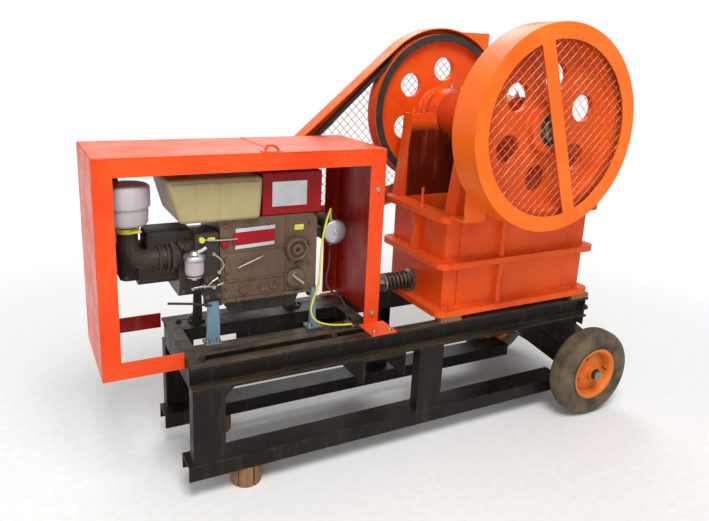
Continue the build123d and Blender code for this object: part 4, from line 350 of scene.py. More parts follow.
# %% Metals
def bare_metal(name, bright, dull, rust, gloss, rusting, texture):
    """Metal with blotches, and rust in spots and corners."""
    finish = Finish(name, metallic=0.85)
    color = finish.mix(finish.band(finish.noise(7, 5), 0.35, 0.65), bright, dull)
    spots = finish.band(finish.noise(26, 6, 0.7), 0.62 - 0.2 * rusting, 0.72, 0, rusting)
    corner = finish.math(finish.corners(0.03), rusting + 0.25)
    stain = finish.math(spots, corner, "MAXIMUM")
    color = finish.mix(stain, color, rust)
    finish.edges(0.002)
    finish.relief(finish.noise(texture[0], 4), texture[1])
    streaks = finish.noise(60, 3, 0.6, (1, 1, 0.1))
    rough = finish.band(streaks, 0.3, 0.7, gloss - 0.08, gloss + 0.12)
    return finish.show(color, finish.math(rough, finish.math(stain, 0.4), "ADD"))


finishes["cast_steel"] = bare_metal(
    "cast steel", (96, 90, 84), (64, 58, 52), (82, 54, 38), 0.45, 0.6, (60, 0.0016))
finishes["bright_steel"] = bare_metal(
    "turned steel", (176, 172, 164), (132, 126, 118), (96, 62, 40), 0.30, 0.35, (200, 0.0002))
finishes["steel_sheet"] = bare_metal(
    "rolled sheet", (98, 98, 98), (66, 66, 68), (92, 70, 54), 0.42, 0.35, (50, 0.0008))
finishes["wire"] = bare_metal(
    "galvanised wire", (196, 146, 112), (146, 100, 72), (120, 62, 34), 0.45, 0.4, (300, 0.0002))
finishes["silver"] = bare_metal(
    "silver paint on sheet", (208, 208, 210), (178, 178, 182), (120, 108, 92), 0.34, 0.15,
    (260, 0.0003))
print("metals added, finishes now", len(finishes))

# %% [markdown]
# ## Rubber, tyre and wood
# Rubber is nearly black and never shiny, and a used tyre is grey with dried mud in its grooves. The
# support blocks are sawn logs: rings on the cut face and long fibres down the side come from one
# stretched noise, because end grain and side grain are the same fibres seen two ways.

# %% Rubber and wood
def rubber(name, clean, dusty, dust_amount):
    """Dull rubber with dust in patches and corners."""
    finish = Finish(name)
    finish.edges(0.002)
    dust = finish.math(finish.band(finish.noise(9, 6, 0.65), 0.4, 0.62), dust_amount)
    film = finish.math(finish.corners(0.02), dust_amount)
    color = finish.mix(finish.math(dust, film, "MAXIMUM"), clean, dusty)
    finish.relief(finish.noise(260, 4), 0.0004)
    return finish.show(color, finish.band(finish.noise(20, 4), 0.3, 0.7, 0.62, 0.88))


def sawn_log(name):
    """Dry wood with long fibres down its sides and stains of the weather."""
    finish = Finish(name)
    finish.edges(0.003)
    fibre = finish.noise(150, 5, 0.65, (1, 1, 0.05))
    color = finish.mix(finish.band(fibre, 0.3, 0.7), (158, 116, 80), (108, 76, 50))
    stain = finish.band(finish.noise(13, 5), 0.45, 0.7)
    color = finish.mix(finish.math(stain, 0.6), color, (112, 84, 66))
    finish.relief(fibre, 0.003)
    return finish.show(color, 0.85)


finishes["rubber"] = rubber("belt rubber", (34, 33, 32), (74, 68, 60), 0.35)
finishes["tyre"] = rubber("tyre rubber", (56, 51, 42), (120, 101, 74), 0.7)
finishes["wood"] = sawn_log("sawn log")
finishes["cable_yellow"] = rubber("yellow cable", (214, 204, 70), (150, 138, 66), 0.3)
finishes["pipe_black"] = painted(
    "pipe paint", (62, 56, 50), (44, 40, 36), (112, 84, 64), (88, 76, 64), 0.5, (140, 0.0012),
    grime=0.7)
yellow_cable.data.materials.append(finishes["cable_yellow"])
black_cable.data.materials.append(finishes["rubber"])
print("rubber and wood added, finishes now", len(finishes))

# %% Give every CAD node its finish
for row in frame["record"]["subparts"]:
    mesh = nodes[row["node"]].data
    mesh.materials.clear()
    mesh.materials.append(finishes[row["material_slot"]])

# %% [markdown]
# ## Tools of the workshop
# Every new piece below starts as a primitive and is shaped as by hand in edit mode: a profile is
# drawn by extruding a single vertex and then spun, a bar is a drawn line with rounded corners that
# gets a thickness, and a bolt is modelled once and copied. The helpers keep those few moves in one
# place. They work at the real place, so that each finished piece can keep its origin at the world's
# centre.

# %% Directions, and what is selected
NEAR, FAR, UP, AHEAD = Vector((0, -1, 0)), Vector((0, 1, 0)), Vector((0, 0, 1)), Vector((1, 0, 0))


def let_go():
    """Nothing is selected any more, so that the next operator meets only its own piece."""
    bpy.ops.object.select_all(action="DESELECT")


def hold(*pieces):
    """Selects these pieces, the last one active."""
    let_go()
    for piece in pieces:
        piece.select_set(True)
    bpy.context.view_layer.objects.active = pieces[-1]


def apply_place():
    """Moves place, turn and size of the selected pieces into their meshes."""
    bpy.ops.object.transform_apply(location=True, rotation=True, scale=True)


# %% Boxes, discs and their rounded edges
def slab(low, high, round_off=1.5):
    """A box between two corners with its edges rounded off, in millimetres."""
    low, high = at(*low), at(*high)
    let_go()
    bpy.ops.mesh.primitive_cube_add(size=1, location=(low + high) / 2, scale=high - low)
    return rounded(bpy.context.object, round_off)


def rounded(piece, width, segments=2, angle=35):
    """Rounds the sharp edges of a piece."""
    hold(piece)
    apply_place()
    if width:
        bevel = piece.modifiers.new("round", "BEVEL")
        bevel.width = width / 1000
        bevel.segments = segments
        bevel.limit_method = "ANGLE"
        bevel.angle_limit = radians(angle)
        bpy.ops.object.modifier_apply(modifier="round")
    return piece


def drum(place, axis, radius, depth, sides=48, round_off=1.0):
    """A round or many-sided disc that grows from a place along an axis."""
    let_go()
    turn = UP.rotation_difference(axis).to_euler()
    bpy.ops.mesh.primitive_cylinder_add(
        vertices=sides, radius=radius / 1000, depth=depth / 1000,
        location=place + axis * depth / 2000, rotation=turn)
    return rounded(bpy.context.object, round_off)


# %% Drawn lines, lathe work, bars and plates
def draw_line(spots):
    """A row of vertices: one vertex is made and then extruded from spot to spot."""
    let_go()
    bpy.ops.mesh.primitive_plane_add(size=0.01, location=spots[0])
    bpy.ops.object.mode_set(mode="EDIT")
    bpy.ops.mesh.merge(type="CENTER")
    for here, there in zip(spots, spots[1:]):
        bpy.ops.mesh.extrude_vertices_move(TRANSFORM_OT_translate={"value": tuple(there - here)})
    bpy.ops.mesh.select_all(action="SELECT")


def lathe(place, axis, profile, steps=96, round_off=0.0):
    """A profile of (radius, height) pairs spun about an axis, and closed if it starts off it."""
    side = axis.orthogonal().normalized()
    if profile[0][0]:
        profile = profile + [profile[0]]
    draw_line([place + side * radius / 1000 + axis * height / 1000 for radius, height in profile])
    bpy.ops.mesh.spin(steps=steps, angle=2 * pi, center=place, axis=axis)
    bpy.ops.mesh.select_all(action="SELECT")
    bpy.ops.mesh.remove_doubles(threshold=0.00001)
    bpy.ops.mesh.normals_make_consistent(inside=False)
    bpy.ops.object.mode_set(mode="OBJECT")
    return rounded(bpy.context.object, round_off)


def bar(spots, radius, bend=0.0, sides=2, steps=5):
    """A round bar along a row of places, with bent corners."""
    draw_line([at(*spot) for spot in spots])
    if bend:
        bpy.ops.mesh.bevel(offset=bend / 1000, segments=steps, affect="VERTICES")
    bpy.ops.object.mode_set(mode="OBJECT")
    bpy.ops.object.convert(target="CURVE")
    line = bpy.context.object.data
    line.bevel_depth = radius / 1000
    line.bevel_resolution = sides
    line.use_fill_caps = True
    bpy.ops.object.convert(target="MESH")
    return rounded(bpy.context.object, 0)


def plate(outline, axis, thickness, round_off=1.0):
    """A flat plate: an outline is drawn, filled and extruded along an axis."""
    draw_line([at(*spot) for spot in outline])
    bpy.ops.mesh.edge_face_add()
    depth = tuple(axis * thickness / 1000)
    bpy.ops.mesh.extrude_region_move(TRANSFORM_OT_translate={"value": depth})
    bpy.ops.mesh.select_all(action="SELECT")
    bpy.ops.mesh.normals_make_consistent(inside=False)
    bpy.ops.object.mode_set(mode="OBJECT")
    return rounded(bpy.context.object, round_off)


# %% Joining, copying and cutting
def joined(pieces):
    """Several pieces made one."""
    hold(*pieces)
    if len(pieces) > 1:
        bpy.ops.object.join()
    return bpy.context.object


def discard(piece):
    """Deletes a piece that was only a pattern or a tool."""
    hold(piece)
    bpy.ops.object.delete()


def copies(pattern, matrices):
    """A piece made at the world's centre gives way to its copies, one for each matrix."""
    made = []
    for matrix in matrices:
        twin = pattern.copy()
        twin.data = pattern.data.copy()
        bpy.context.scene.collection.objects.link(twin)
        twin.matrix_world = matrix
        made.append(twin)
    discard(pattern)
    hold(*made)
    apply_place()
    return joined(made)


def carve(piece, cutters):
    """Cuts the cutters' shapes out of a piece."""
    tool = joined(cutters)
    hold(piece)
    cut = piece.modifiers.new("cut", "BOOLEAN")
    cut.operation = "DIFFERENCE"
    cut.solver = "EXACT"
    cut.object = tool
    bpy.ops.object.modifier_apply(modifier="cut")
    discard(tool)
    return piece


# %% Handing a finished piece over
def settle(piece, name, slot, node=None, body="machine", angle=32, finish=None):
    """Names a finished piece, gives it its finish and body, and lets it stand for a CAD node."""
    hold(piece)
    apply_place()
    bpy.ops.object.shade_smooth_by_angle(angle=radians(angle))
    weighted = piece.modifiers.new("flat faces stay flat", "WEIGHTED_NORMAL")
    weighted.keep_sharp = True
    bpy.ops.object.modifier_apply(modifier=weighted.name)
    piece.name = name
    piece.data.materials.clear()
    piece.data.materials.append(finishes[finish or slot])
    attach(piece, body)
    if node:
        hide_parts(node)
    print(name, len(piece.data.polygons), "faces")


# %% [markdown]
# ## Bolts, nuts and studs
# Hexagon heads hold the bearings, the box and the wheels. One head with its washer is enough of a
# model: a six-sided drum with rounded edges on a thin disc. Each size is made once at the world's
# centre and then copied to its places. A stub turns the head into a nut on a stud.

# %% A bolt head and a nut
def bolt(thread, stub):
    """A hexagon head on a washer at the world's centre; a stub makes it a nut on a stud."""
    centre = Vector((0, 0, 0))
    parts = [drum(centre, UP, 1.15 * thread, 0.15 * thread, 20, 0.03 * thread),
             drum(UP * 0.15 * thread / 1000, UP, 0.92 * thread, 0.7 * thread, 6, 0.09 * thread)]
    if stub:
        parts.append(drum(centre, UP, 0.48 * thread, stub, 12, 0.08 * thread))
    return joined(parts)


def bolts(name, thread, places, slot, body="machine", stub=0.0):
    """Copies of one bolt at (x, y, z, direction) places."""
    matrices = []
    for x, y, z, direction in places:
        turn = UP.rotation_difference(direction).to_matrix().to_4x4()
        matrices.append(Matrix.Translation(at(x, y, z)) @ turn)
    settle(copies(bolt(thread, stub), matrices), name, slot, body=body)


# %% [markdown]
# ## Guards
# Each flywheel runs behind a guard of bent sheet: a rim, a flat ring, one diagonal bar and a
# diamond wire mesh. The rim is spun from one profile, which gives a rounder edge than the CAD
# polygon. The mesh starts as a plain grid turned on its corner. Every second crossing is pushed out
# and the others in, as wires that pass over and under, and the Wireframe modifier makes each edge a
# wire. The belt guard from CAD stays, and gets the same kind of mesh and its screws.

# %% Round guard
SHAFT = (1300, 1310)
GUARD_FACE, GUARD_BACK = -457, -325
HALF_BAR = 29
BAR_LEAN = radians(107.5)


def along(axle, y):
    """A place on an axle that runs across the machine."""
    return at(axle[0], y, axle[1])


def around(axle, radius, turn, y):
    """The three measures of a place at a radius round an axle."""
    return axle[0] + radius * cos(turn), y, axle[1] + radius * sin(turn)


guard_rim = lathe(along(SHAFT, GUARD_FACE), FAR,
                  [(321, 0), (380, 0), (380, 132), (375, 132), (375, 5), (321, 5)], 120, 1.6)
lip = lathe(along(SHAFT, GUARD_BACK - 6), FAR,
            [(379, 0), (379.6, 3), (379, 6), (373, 6), (372, 3), (373, 0)], 96)


def guard_bar(face, thickness, reach):
    """The bar across a guard, with rounded edges."""
    run = Vector((cos(BAR_LEAN), sin(BAR_LEAN)))
    across = Vector((-run.y, run.x)) * HALF_BAR
    run *= reach
    corners = (run + across, run - across, -run - across, -run + across)
    return plate([(SHAFT[0] + c.x, face, SHAFT[1] + c.y) for c in corners], FAR, thickness)


settle(joined([guard_rim, lip, guard_bar(GUARD_FACE + 0.4, 4.2, 340)]),
       "round_guard", "orange_guard", "guard_round")

# %% Wire meshes
WIRE_PITCH = 27
WIRE, WEAVE = 0.0024, 0.0011


def wire_mesh(name, middle_x, middle_z, place, reach, inside, node):
    """A diamond mesh of woven wire, cut to the cells whose middles lie inside an outline."""
    cells = 2 * int(reach / WIRE_PITCH)
    let_go()
    bpy.ops.mesh.primitive_grid_add(
        x_subdivisions=cells, y_subdivisions=cells, size=cells * WIRE_PITCH / 1000,
        location=at(middle_x, place, middle_z), rotation=(pi / 2, pi / 4, 0))
    mesh = bpy.context.object
    apply_place()
    bpy.ops.object.mode_set(mode="EDIT")
    bpy.ops.mesh.select_mode(type="FACE")
    bpy.ops.mesh.select_all(action="DESELECT")
    bpy.ops.object.mode_set(mode="OBJECT")
    for number, vertex in enumerate(mesh.data.vertices):
        row, column = divmod(number, cells + 1)
        vertex.co.y += WEAVE if (row + column) % 2 else -WEAVE
    for cell in mesh.data.polygons:
        x, z = cell.center.x * 1000 + ORIGIN_X, cell.center.z * 1000
        cell.select = not inside(x, z)
    bpy.ops.object.mode_set(mode="EDIT")
    bpy.ops.mesh.delete(type="FACE")
    bpy.ops.mesh.select_mode(type="VERT")
    bpy.ops.object.mode_set(mode="OBJECT")
    wires = mesh.modifiers.new("wires", "WIREFRAME")
    wires.thickness = WIRE
    bpy.ops.object.modifier_apply(modifier="wires")
    settle(mesh, name, "wire", node, angle=50)


wire_mesh("round_guard_mesh", *SHAFT, GUARD_FACE + 8.5, 380,
          lambda x, z: (x - SHAFT[0]) ** 2 + (z - SHAFT[1]) ** 2 < 344 ** 2, "guard_round_mesh")

# %% Mesh of the belt guard
TO_SMALL_END = Vector((-1017, -506))
LARGE_END, TAPER = 365, 283


def in_teardrop(x, z, inset):
    """Whether a place lies in the belt guard, a row of circles that shrink to the small end."""
    for step in range(41):
        share = step / 40
        middle = (SHAFT[0] + TO_SMALL_END.x * share, SHAFT[1] + TO_SMALL_END.y * share)
        if (x - middle[0]) ** 2 + (z - middle[1]) ** 2 < (LARGE_END - TAPER * share - inset) ** 2:
            return True
    return False


wire_mesh("belt_guard_mesh", 791, 1057, 373.5, 760,
          lambda x, z: in_teardrop(x, z, 42), "guard_belt_mesh")

# %% Screws of the belt guard
SCREW_FACE, FROM_EDGE = 381, 30
belt_screws = [(*around(SHAFT, LARGE_END - FROM_EDGE, radians(turn), SCREW_FACE), FAR)
               for turn in (-60, -20, 20, 60, 100)]
for share in (0.1, 0.35, 0.6, 0.85):
    for outward in (Vector((-0.654, 0.756)), Vector((0.208, -0.978))):
        reach = LARGE_END - TAPER * share - FROM_EDGE
        spot = Vector(SHAFT) + TO_SMALL_END * share + outward * reach
        belt_screws.append((spot.x, SCREW_FACE, spot.y, FAR))
bolts("belt_guard_screws", 4, belt_screws, "orange_guard")

# %% [markdown]
# ## Flywheels
# A cast flywheel has a heavy machined rim, a thin web and a hub, with soft fillets where they meet,
# because iron flows badly into sharp corners. All of that is one profile on the lathe. The six
# holes are then cut with the Boolean modifier, and a small bevel takes the sharpness off their
# edges.

# %% Flywheels
HOLES = [radians(23 + 60 * number) for number in range(6)]
HOLE_RADIUS, HOLE_RING = 52.5, 188
BELTS = (-17, 0, 17)


def grooved(outer, depth, places):
    """The part of a rim's profile that holds the belts."""
    profile = []
    for place in places:
        profile += [(outer, place - 7), (outer - depth, place - 4), (outer - depth, place + 4),
                    (outer, place + 7)]
    return profile


def flywheel(middle, half, belts):
    """A flywheel about the crusher's shaft, half as thick as it says on each side of its middle."""
    face = [(46, -half), (88, -half), (92, 3 - half), (97, -18), (104, -12), (290, -12), (301, -17),
            (306, 4 - half), (309, -half), (338, -half)]
    rim_face = grooved(340, 12, belts) or [(340, 2 - half), (340, half - 2)]
    profile = face + rim_face + [(radius, -height) for radius, height in reversed(face)]
    wheel = lathe(along(SHAFT, middle), FAR, profile, 128)
    cutters = [drum(at(*around(SHAFT, HOLE_RING, turn, middle - 30)), FAR, HOLE_RADIUS, 60, 48, 0)
               for turn in HOLES]
    return rounded(carve(wheel, cutters), 1.5, 2, 50)


settle(flywheel(-378, 45, ()), "near_flywheel", "red_jaw", "flywheel_near", "crusher_rotor")
settle(flywheel(327, 39, BELTS), "far_flywheel", "red_jaw", "flywheel_far", "crusher_rotor")

# %% Ends of the shaft
shaft_cap = lathe(along(SHAFT, -423), NEAR,
                  [(0, 14.6), (36, 14.6), (44, 13), (44.8, 10), (44.8, 1), (58, 0.8), (60, 0.2),
                   (60, -1), (0, -1)], 64)
centre_hole = drum(along(SHAFT, -431), NEAR, 7, 10, 24, 0)
settle(carve(shaft_cap, [centre_hole]), "shaft_end", "cast_steel", body="crusher_rotor")
key = slab((SHAFT[0] - 9, -425, SHAFT[1] + 34), (SHAFT[0] + 9, -420, SHAFT[1] + 52), 1)
settle(key, "shaft_key", "bright_steel", body="crusher_rotor")

# %% Engine pulley and flywheel
CRANK = (405, 842)
pulley = lathe(along(CRANK, 327), FAR,
               [(0, -34), (77, -34), (78, -33)] + grooved(78, 12, BELTS)
               + [(78, 33), (77, 34), (62, 34), (58, 28), (32, 28), (30, 34), (24, 34), (22, 31),
                  (0, 31), (0, -34)], 72)
crank_end = drum(along(CRANK, 192), FAR, 25, 110, 40, 1.5)
settle(joined([pulley, crank_end]), "belt_pulley", "cast_steel", "engine_pulley", "engine_rotor")
heavy_rim = lathe(along(CRANK, 206), FAR,
                  [(26, 0), (232, 0), (235, 3), (235, 53), (232, 56), (203, 56), (199, 52),
                   (196, 36), (188, 32), (82, 32), (74, 36), (70, 52), (66, 56), (26, 56)], 112)
settle(heavy_rim, "engine_flywheel_wheel", "engine_iron", "engine_flywheel", "engine_rotor")

# %% [markdown]
# ## Wheels
# The machine is pushed about on two wheelbarrow wheels. The tyre is spun from half of its section,
# and its tread is a ring of rubber blocks, one modelled and the rest copied round. The rim is
# pressed from sheet: two lips, a dished disc, a hub, and the bolts that hold its two halves
# together.

# %% Tyres
WHEEL = (1781, 200)
TRACK = 328
TREAD_RADIUS, TREAD_BLOCKS = 191.4, 44


def tyre(side, name, body, node):
    """A tyre with a round section, two grooves and blocks on its shoulders."""
    middle = side * TRACK
    half = [(104, 30), (106, 35.5), (113, 38), (123, 37.5), (128, 41), (142, 47.5), (156, 49.8),
            (168, 49.5), (178, 47), (186, 42.5), (189, 41.5), (193.5, 36), (197, 29), (198.6, 20),
            (195, 18.5), (195, 15), (199.2, 13.5), (199.8, 3), (196, 2), (196, -2)]
    profile = half + [(radius, -height) for radius, height in reversed(half[:-2])]
    casing = lathe(along(WHEEL, middle), FAR, profile, 96)
    block = slab((ORIGIN_X - 4.6, ORIGIN_Y - 9, -3), (ORIGIN_X + 4.6, ORIGIN_Y + 9, 4.6), 1.3)
    matrices = []
    for row, lean in enumerate((-1, 1)):
        tip = Matrix.Rotation(radians(30 * lean), 4, "X")
        skew = Matrix.Rotation(radians(24 * lean), 4, "Z")
        for number in range(TREAD_BLOCKS):
            turn = 2 * pi * (number + 0.5 * row) / TREAD_BLOCKS
            place = along(WHEEL, middle - 27 * lean)
            place += Vector((cos(turn), 0, sin(turn))) * TREAD_RADIUS / 1000
            outward = Matrix.Rotation(pi / 2 - turn, 4, "Y")
            matrices.append(Matrix.Translation(place) @ outward @ tip @ skew)
    settle(joined([copies(block, matrices), casing]), name, "tyre", node, body)


# %% Rims
def rim(side, name, body, node):
    """A dished rim with a hub, four bolts and a valve."""
    middle = side * TRACK
    outward = FAR * side
    barrel = lathe(along(WHEEL, middle), outward, [
        (119, 42), (118, 40), (110, 38), (105, 36), (102, 30), (99, 12), (96, 6), (99, -12),
        (102, -30), (105, -36), (110, -38), (118, -40), (119, -42), (116, -42), (108, -41),
        (101, -38), (97, -30), (94, -12), (91, 4), (84, 6), (74, 9), (64, 13), (56, 14.5), (46, 14),
        (38, 16), (34, 20), (32, 24), (32, 40), (30, 42), (20.6, 42), (20.6, -42), (32, -40),
        (32, 6), (46, 9), (56, 9.5), (72, 4.5), (84, 1.5), (92, 1), (96, 14), (98, 30), (102, 37),
        (108, 41), (116, 42)], 96)
    settle(barrel, name, "orange_rim", node, body)
    rim_bolts = [(*around(WHEEL, 66, 0.4 + quarter * pi / 2, middle + side * 12), outward)
                 for quarter in range(4)]
    bolts(name + "_bolts", 6, rim_bolts, "orange_rim", body)
    valve = bar([(WHEEL[0] + inward, middle + side * out, WHEEL[1])
                 for inward, out in ((86, 5), (86, 20), (80, 34))], 3, 8)
    settle(valve, name + "_valve", "rubber", body=body)


# %% Both wheels
for side, where in ((-1, "near"), (1, "far")):
    tyre(side, where + "_tyre", "wheel_" + where, "tyre_" + where)
for side, where in ((-1, "near"), (1, "far")):
    rim(side, where + "_rim", "wheel_" + where, "rim_" + where)

# %% Axle ends
for side, name in ((-1, "near_axle_end"), (1, "far_axle_end")):
    washer = drum(along(WHEEL, side * 371), FAR * side, 25, 3, 40, 0.8)
    cap = lathe(along(WHEEL, side * 374), FAR * side,
                [(0, 15.5), (9, 15.3), (15, 13), (19, 9), (20.2, 6), (20.2, 0), (0, 0)], 48)
    settle(joined([washer, cap]), name, "cast_steel")

# %% [markdown]
# ## The engine
# The diesel is one horizontal cylinder: a block with the crankshaft, a head towards the open end, a
# tank and a water hopper on top. A cast block is never a bare box. It has machined covers, ribs and
# bolt rows, and those catch the light. Each is a small plate or drum laid on the CAD casting.

# %% Block covers
BLOCK_FACE = -65
ON_BLOCK = BLOCK_FACE + 1
ring_cap = lathe(at(440, ON_BLOCK, 842), NEAR,
                 [(0, 16), (8, 16), (9, 26), (19, 27), (21, 24), (23, 17), (31, 17), (33, 25),
                  (36, 27), (42, 25), (45, 12), (46, 0), (0, 0)], 56)
oil_cap = lathe(at(440, ON_BLOCK, 726), NEAR,
                [(0, 20), (25, 20), (28, 17), (34, 16), (37, 12), (38, 0), (0, 0)], 48)
settle(joined([ring_cap, oil_cap]), "block_covers", "engine_iron")
oil_handle = plate([(414, -96, 746), (420, -96, 750), (468, -96, 712), (462, -96, 704)], FAR, 14, 2)
settle(oil_handle, "oil_handle", "bright_steel")

# %% Ridges, bosses and a bolt row on the block
ridges = [slab((172, -70, 741), (398, ON_BLOCK, 746), 1.5),
          slab((172, -69, 852), (398, ON_BLOCK, 857), 1.5),
          slab((399, -71, 668), (405, ON_BLOCK, 968), 1.5),
          slab((151, -72, 662), (504, ON_BLOCK, 676), 3),
          slab((166, -75, 780), (180, ON_BLOCK, 832), 3)]
bosses = [lathe(at(x, ON_BLOCK, z), NEAR,
                [(0, 3), (radius - 8, 3), (radius - 6, 7), (radius - 2, 7), (radius, 0), (0, 0)],
                32)
          for x, z, radius in ((238, 708, 20), (312, 706, 19), (354, 708, 18), (452, 780, 12))]
settle(joined(ridges + bosses), "block_ridges", "engine_iron")
row = [(x, -72, 669, NEAR) for x in (164, 214, 272, 330, 388, 446, 494)]
row += [(x, BLOCK_FACE, z, NEAR) for x, z in (
    (172, 716), (172, 760), (494, 700), (494, 780), (494, 860), (494, 940), (170, 950), (250, 950),
    (330, 950))]
bolts("block_bolts", 7, row, "engine_iron")
dipstick = bar([(214, -74, 792), (300, -80, 826), (310, -74, 830)], 3.2, 6)
settle(dipstick, "dipstick", "bright_steel")

# %% Bare plates where labels would be
pale_plate = plate([(205, -68.4, 860), (354, -68.4, 866), (357, -68.4, 940), (208, -68.4, 936)],
                   FAR, 3, 0.6)
settle(pale_plate, "pale_panel", "silver")
red_plate = plate([(197, -69.6, 874), (354, -69.6, 880), (356, -69.6, 926), (199, -69.6, 922)],
                  FAR, 1.4, 0.4)
settle(red_plate, "red_panel", "hopper_red")
settle(slab((434, -67.4, 912), (470, -64, 932), 0.6), "yellow_tag", "cable_yellow")
settle(slab((345, -66.4, 1006), (481, -63, 1098), 0.6), "hopper_panel", "silver")

# %% [markdown]
# ## Tank and hopper
# The tank is pressed from two trays that meet in a flange, with generous round corners, because
# sheet tears in sharp ones. It is drawn from the side as one outline, extruded across and rounded.
# A thin bead and a filler cap are added. The cast hopper is a rounded block with the steam opening
# on top.

# %% Tank and hopper
TANK_TOP, HOPPER_TOP = 1125, 1133
tank = plate([(6, -92, 972), (293, -92, 972), (303, -92, TANK_TOP), (-38, -92, TANK_TOP)],
             FAR, 272, 0)
tank = rounded(tank, 16, 4)
neck = lathe(at(40, 40, TANK_TOP - 2), UP,
             [(0, 22), (26, 22), (30, 19), (31, 6), (27, 4), (27, 0), (0, 0)], 40)
settle(joined([tank, neck]), "tank_shell", "tank_green", "fuel_tank", angle=40)
settle(bar([(-20, -93, 1109), (285, -93, 1109)], 2.4), "tank_bead", "tank_green")
hopper = slab((307, -64, 972), (545, 176, HOPPER_TOP), 9)
hopper_neck = lathe(at(424, 60, HOPPER_TOP - 1), UP,
                    [(0, 22), (38, 22), (44, 18), (45, 6), (40, 3), (40, 0), (0, 0)], 44)
settle(joined([hopper, hopper_neck]), "hopper_shell", "hopper_red", "water_hopper", angle=40)

# %% [markdown]
# ## Head side
# Around the head everything is dark: the elbow of the air filter, the manifold, the injector and
# its thin steel pipe, and the levers of the pump. None of it is regular, so it is built up from
# rounded castings, rings and bent bars until the silhouette is as crowded as on a real engine.

# %% Castings around the head
casting = slab((-182, 20, 748), (-26, 118, 882), 24)
upper_casting = slab((-96, -20, 850), (70, 104, 938), 20)
tower = slab((60, -66, 760), (152, 40, 930), 12)
pump = slab((88, -84, 690), (150, -30, 770), 8)
collars = [lathe(at(x, -40, 850), AHEAD, [(33, 0), (44, 0), (46, 4), (44, 9), (33, 9)], 36)
           for x in (-62, -34, -8)]
flange = lathe(at(-20, -40, 850), AHEAD, [(33, 0), (56, 0), (57, 5), (56, 12), (33, 12)], 7, 2)
ribs = [slab((x, -44, 712), (x + 6, 152, 900), 2) for x in (30, 54, 78, 102)]
knobs = [lathe(at(x, y, z), NEAR, [(0, 14), (11, 14), (14, 10), (15, 0), (0, 0)], 24)
         for x, y, z in ((40, -39, 880), (118, -84, 742), (-60, 20, 800))]
settle(joined([casting, upper_casting, tower, pump, flange] + collars + ribs + knobs),
       "head_castings", "pipe_black", angle=40)
head_bolts = [(x, -44, z, NEAR) for x in (22, 92) for z in (716, 884)]
head_bolts += [(x, -84, z, NEAR) for x in (98, 140) for z in (700, 758)]
head_bolts += [(x, 19, z, NEAR) for x in (-160, -110) for z in (770, 858)]
bolts("head_bolts", 9, head_bolts, "cast_steel", stub=9)

# %% Pipes, rods and levers
rods = [bar([(120, -88, 860), (142, -96, 842), (160, -90, 812), (138, -92, 792)], 3.0, 9),
        bar([(40, -92, 742), (84, -98, 748), (118, -94, 740), (154, -90, 748)], 4.6, 12),
        bar([(96, -94, 742), (110, -98, 760), (134, -94, 772)], 3.6, 6),
        bar([(86, -70, 908), (150, -76, 902), (214, -70, 900)], 3.0, 10)]
settle(joined(rods), "injector_pipes", "bright_steel")
unions = [drum(at(x, y, z), NEAR, radius, 14, 6, 1.5) for x, y, z, radius in
          ((84, -90, 748, 7), (118, -88, 740, 8), (44, -86, 742, 6), (138, -86, 792, 7),
           (120, -82, 860, 7))]
settle(joined(unions), "pipe_unions", "bright_steel")
brass = [drum(at(84, -62, 908), NEAR, 11, 18, 6, 1.5),
         drum(at(106, -66, 906), AHEAD, 7, 26, 16, 1.5)]
settle(joined(brass), "brass_unions", "cable_yellow")
lever = bar([(-42, -88, 698), (40, -90, 686), (111, -88, 668)], 4.5, 10)
settle(lever, "pump_lever", "pipe_black")
knob = lathe(at(167, -62, 883), NEAR,
             [(0, 16), (10, 15), (14, 10), (14, 5), (6, 3), (6, 0), (0, 0)], 28)
settle(knob, "stop_knob", "hopper_red")

# %% [markdown]
# ## Air filter, exhaust and small units
# The filter is a pale plastic bowl in two steps, held to its dark elbow by a yellow clamp. The
# muffler is a rolled drum with pressed ends. The fuel filter is a glass bowl under a cast cap. Most
# of it is lathe work, one profile each.

# %% Air filter
finishes["pale_plastic"] = painted(
    "pale plastic", (184, 176, 178), (158, 150, 150), (140, 128, 116), (132, 118, 104), 0.4,
    (200, 0.0003), wear=0.2, grime=0.7)
bowl = lathe(at(-157, -40, 975), UP,
             [(0, 142), (50, 141), (70, 137), (76, 131), (77, 124), (77, 70), (74, 64), (70, 62),
              (69, 52), (70, 50), (70, 40), (69, 38), (68, 12), (62, 4), (50, 1), (36, 0),
              (0, 0)], 80)
settle(bowl, "filter_bowl", "silver", "air_filter", finish="pale_plastic")
yellow_clamp = lathe(at(-157, -40, 952), UP, [(33, 0), (38, 0), (39, 8), (38, 16), (33, 16)], 48)
screw = drum(at(-150, -82, 960), AHEAD, 5, 30, 12, 1)
settle(joined([yellow_clamp, screw]), "filter_clamp", "cable_yellow")

# %% Muffler and exhaust
muffler = lathe(at(-170, 176, 868), UP,
                [(24, -6), (30, 0), (58, 4), (68, 10), (70, 14), (71.5, 15), (71.5, 21), (70, 22),
                 (70, 100), (71, 101), (71, 105), (70, 106), (70, 184), (71.5, 185), (71.5, 191),
                 (70, 192), (66, 198), (52, 204), (28, 207), (22, 212), (0, 212), (0, -6)], 80)
exhaust = bar([(-170, 176, 868), (-170, 176, 807), (5, 176, 807)], 24, 45, 6, 8)
exhaust_flange = slab((-72, 148, 776), (-60, 204, 838), 4)
settle(joined([muffler, exhaust, exhaust_flange]), "muffler", "silver", "exhaust_muffler")

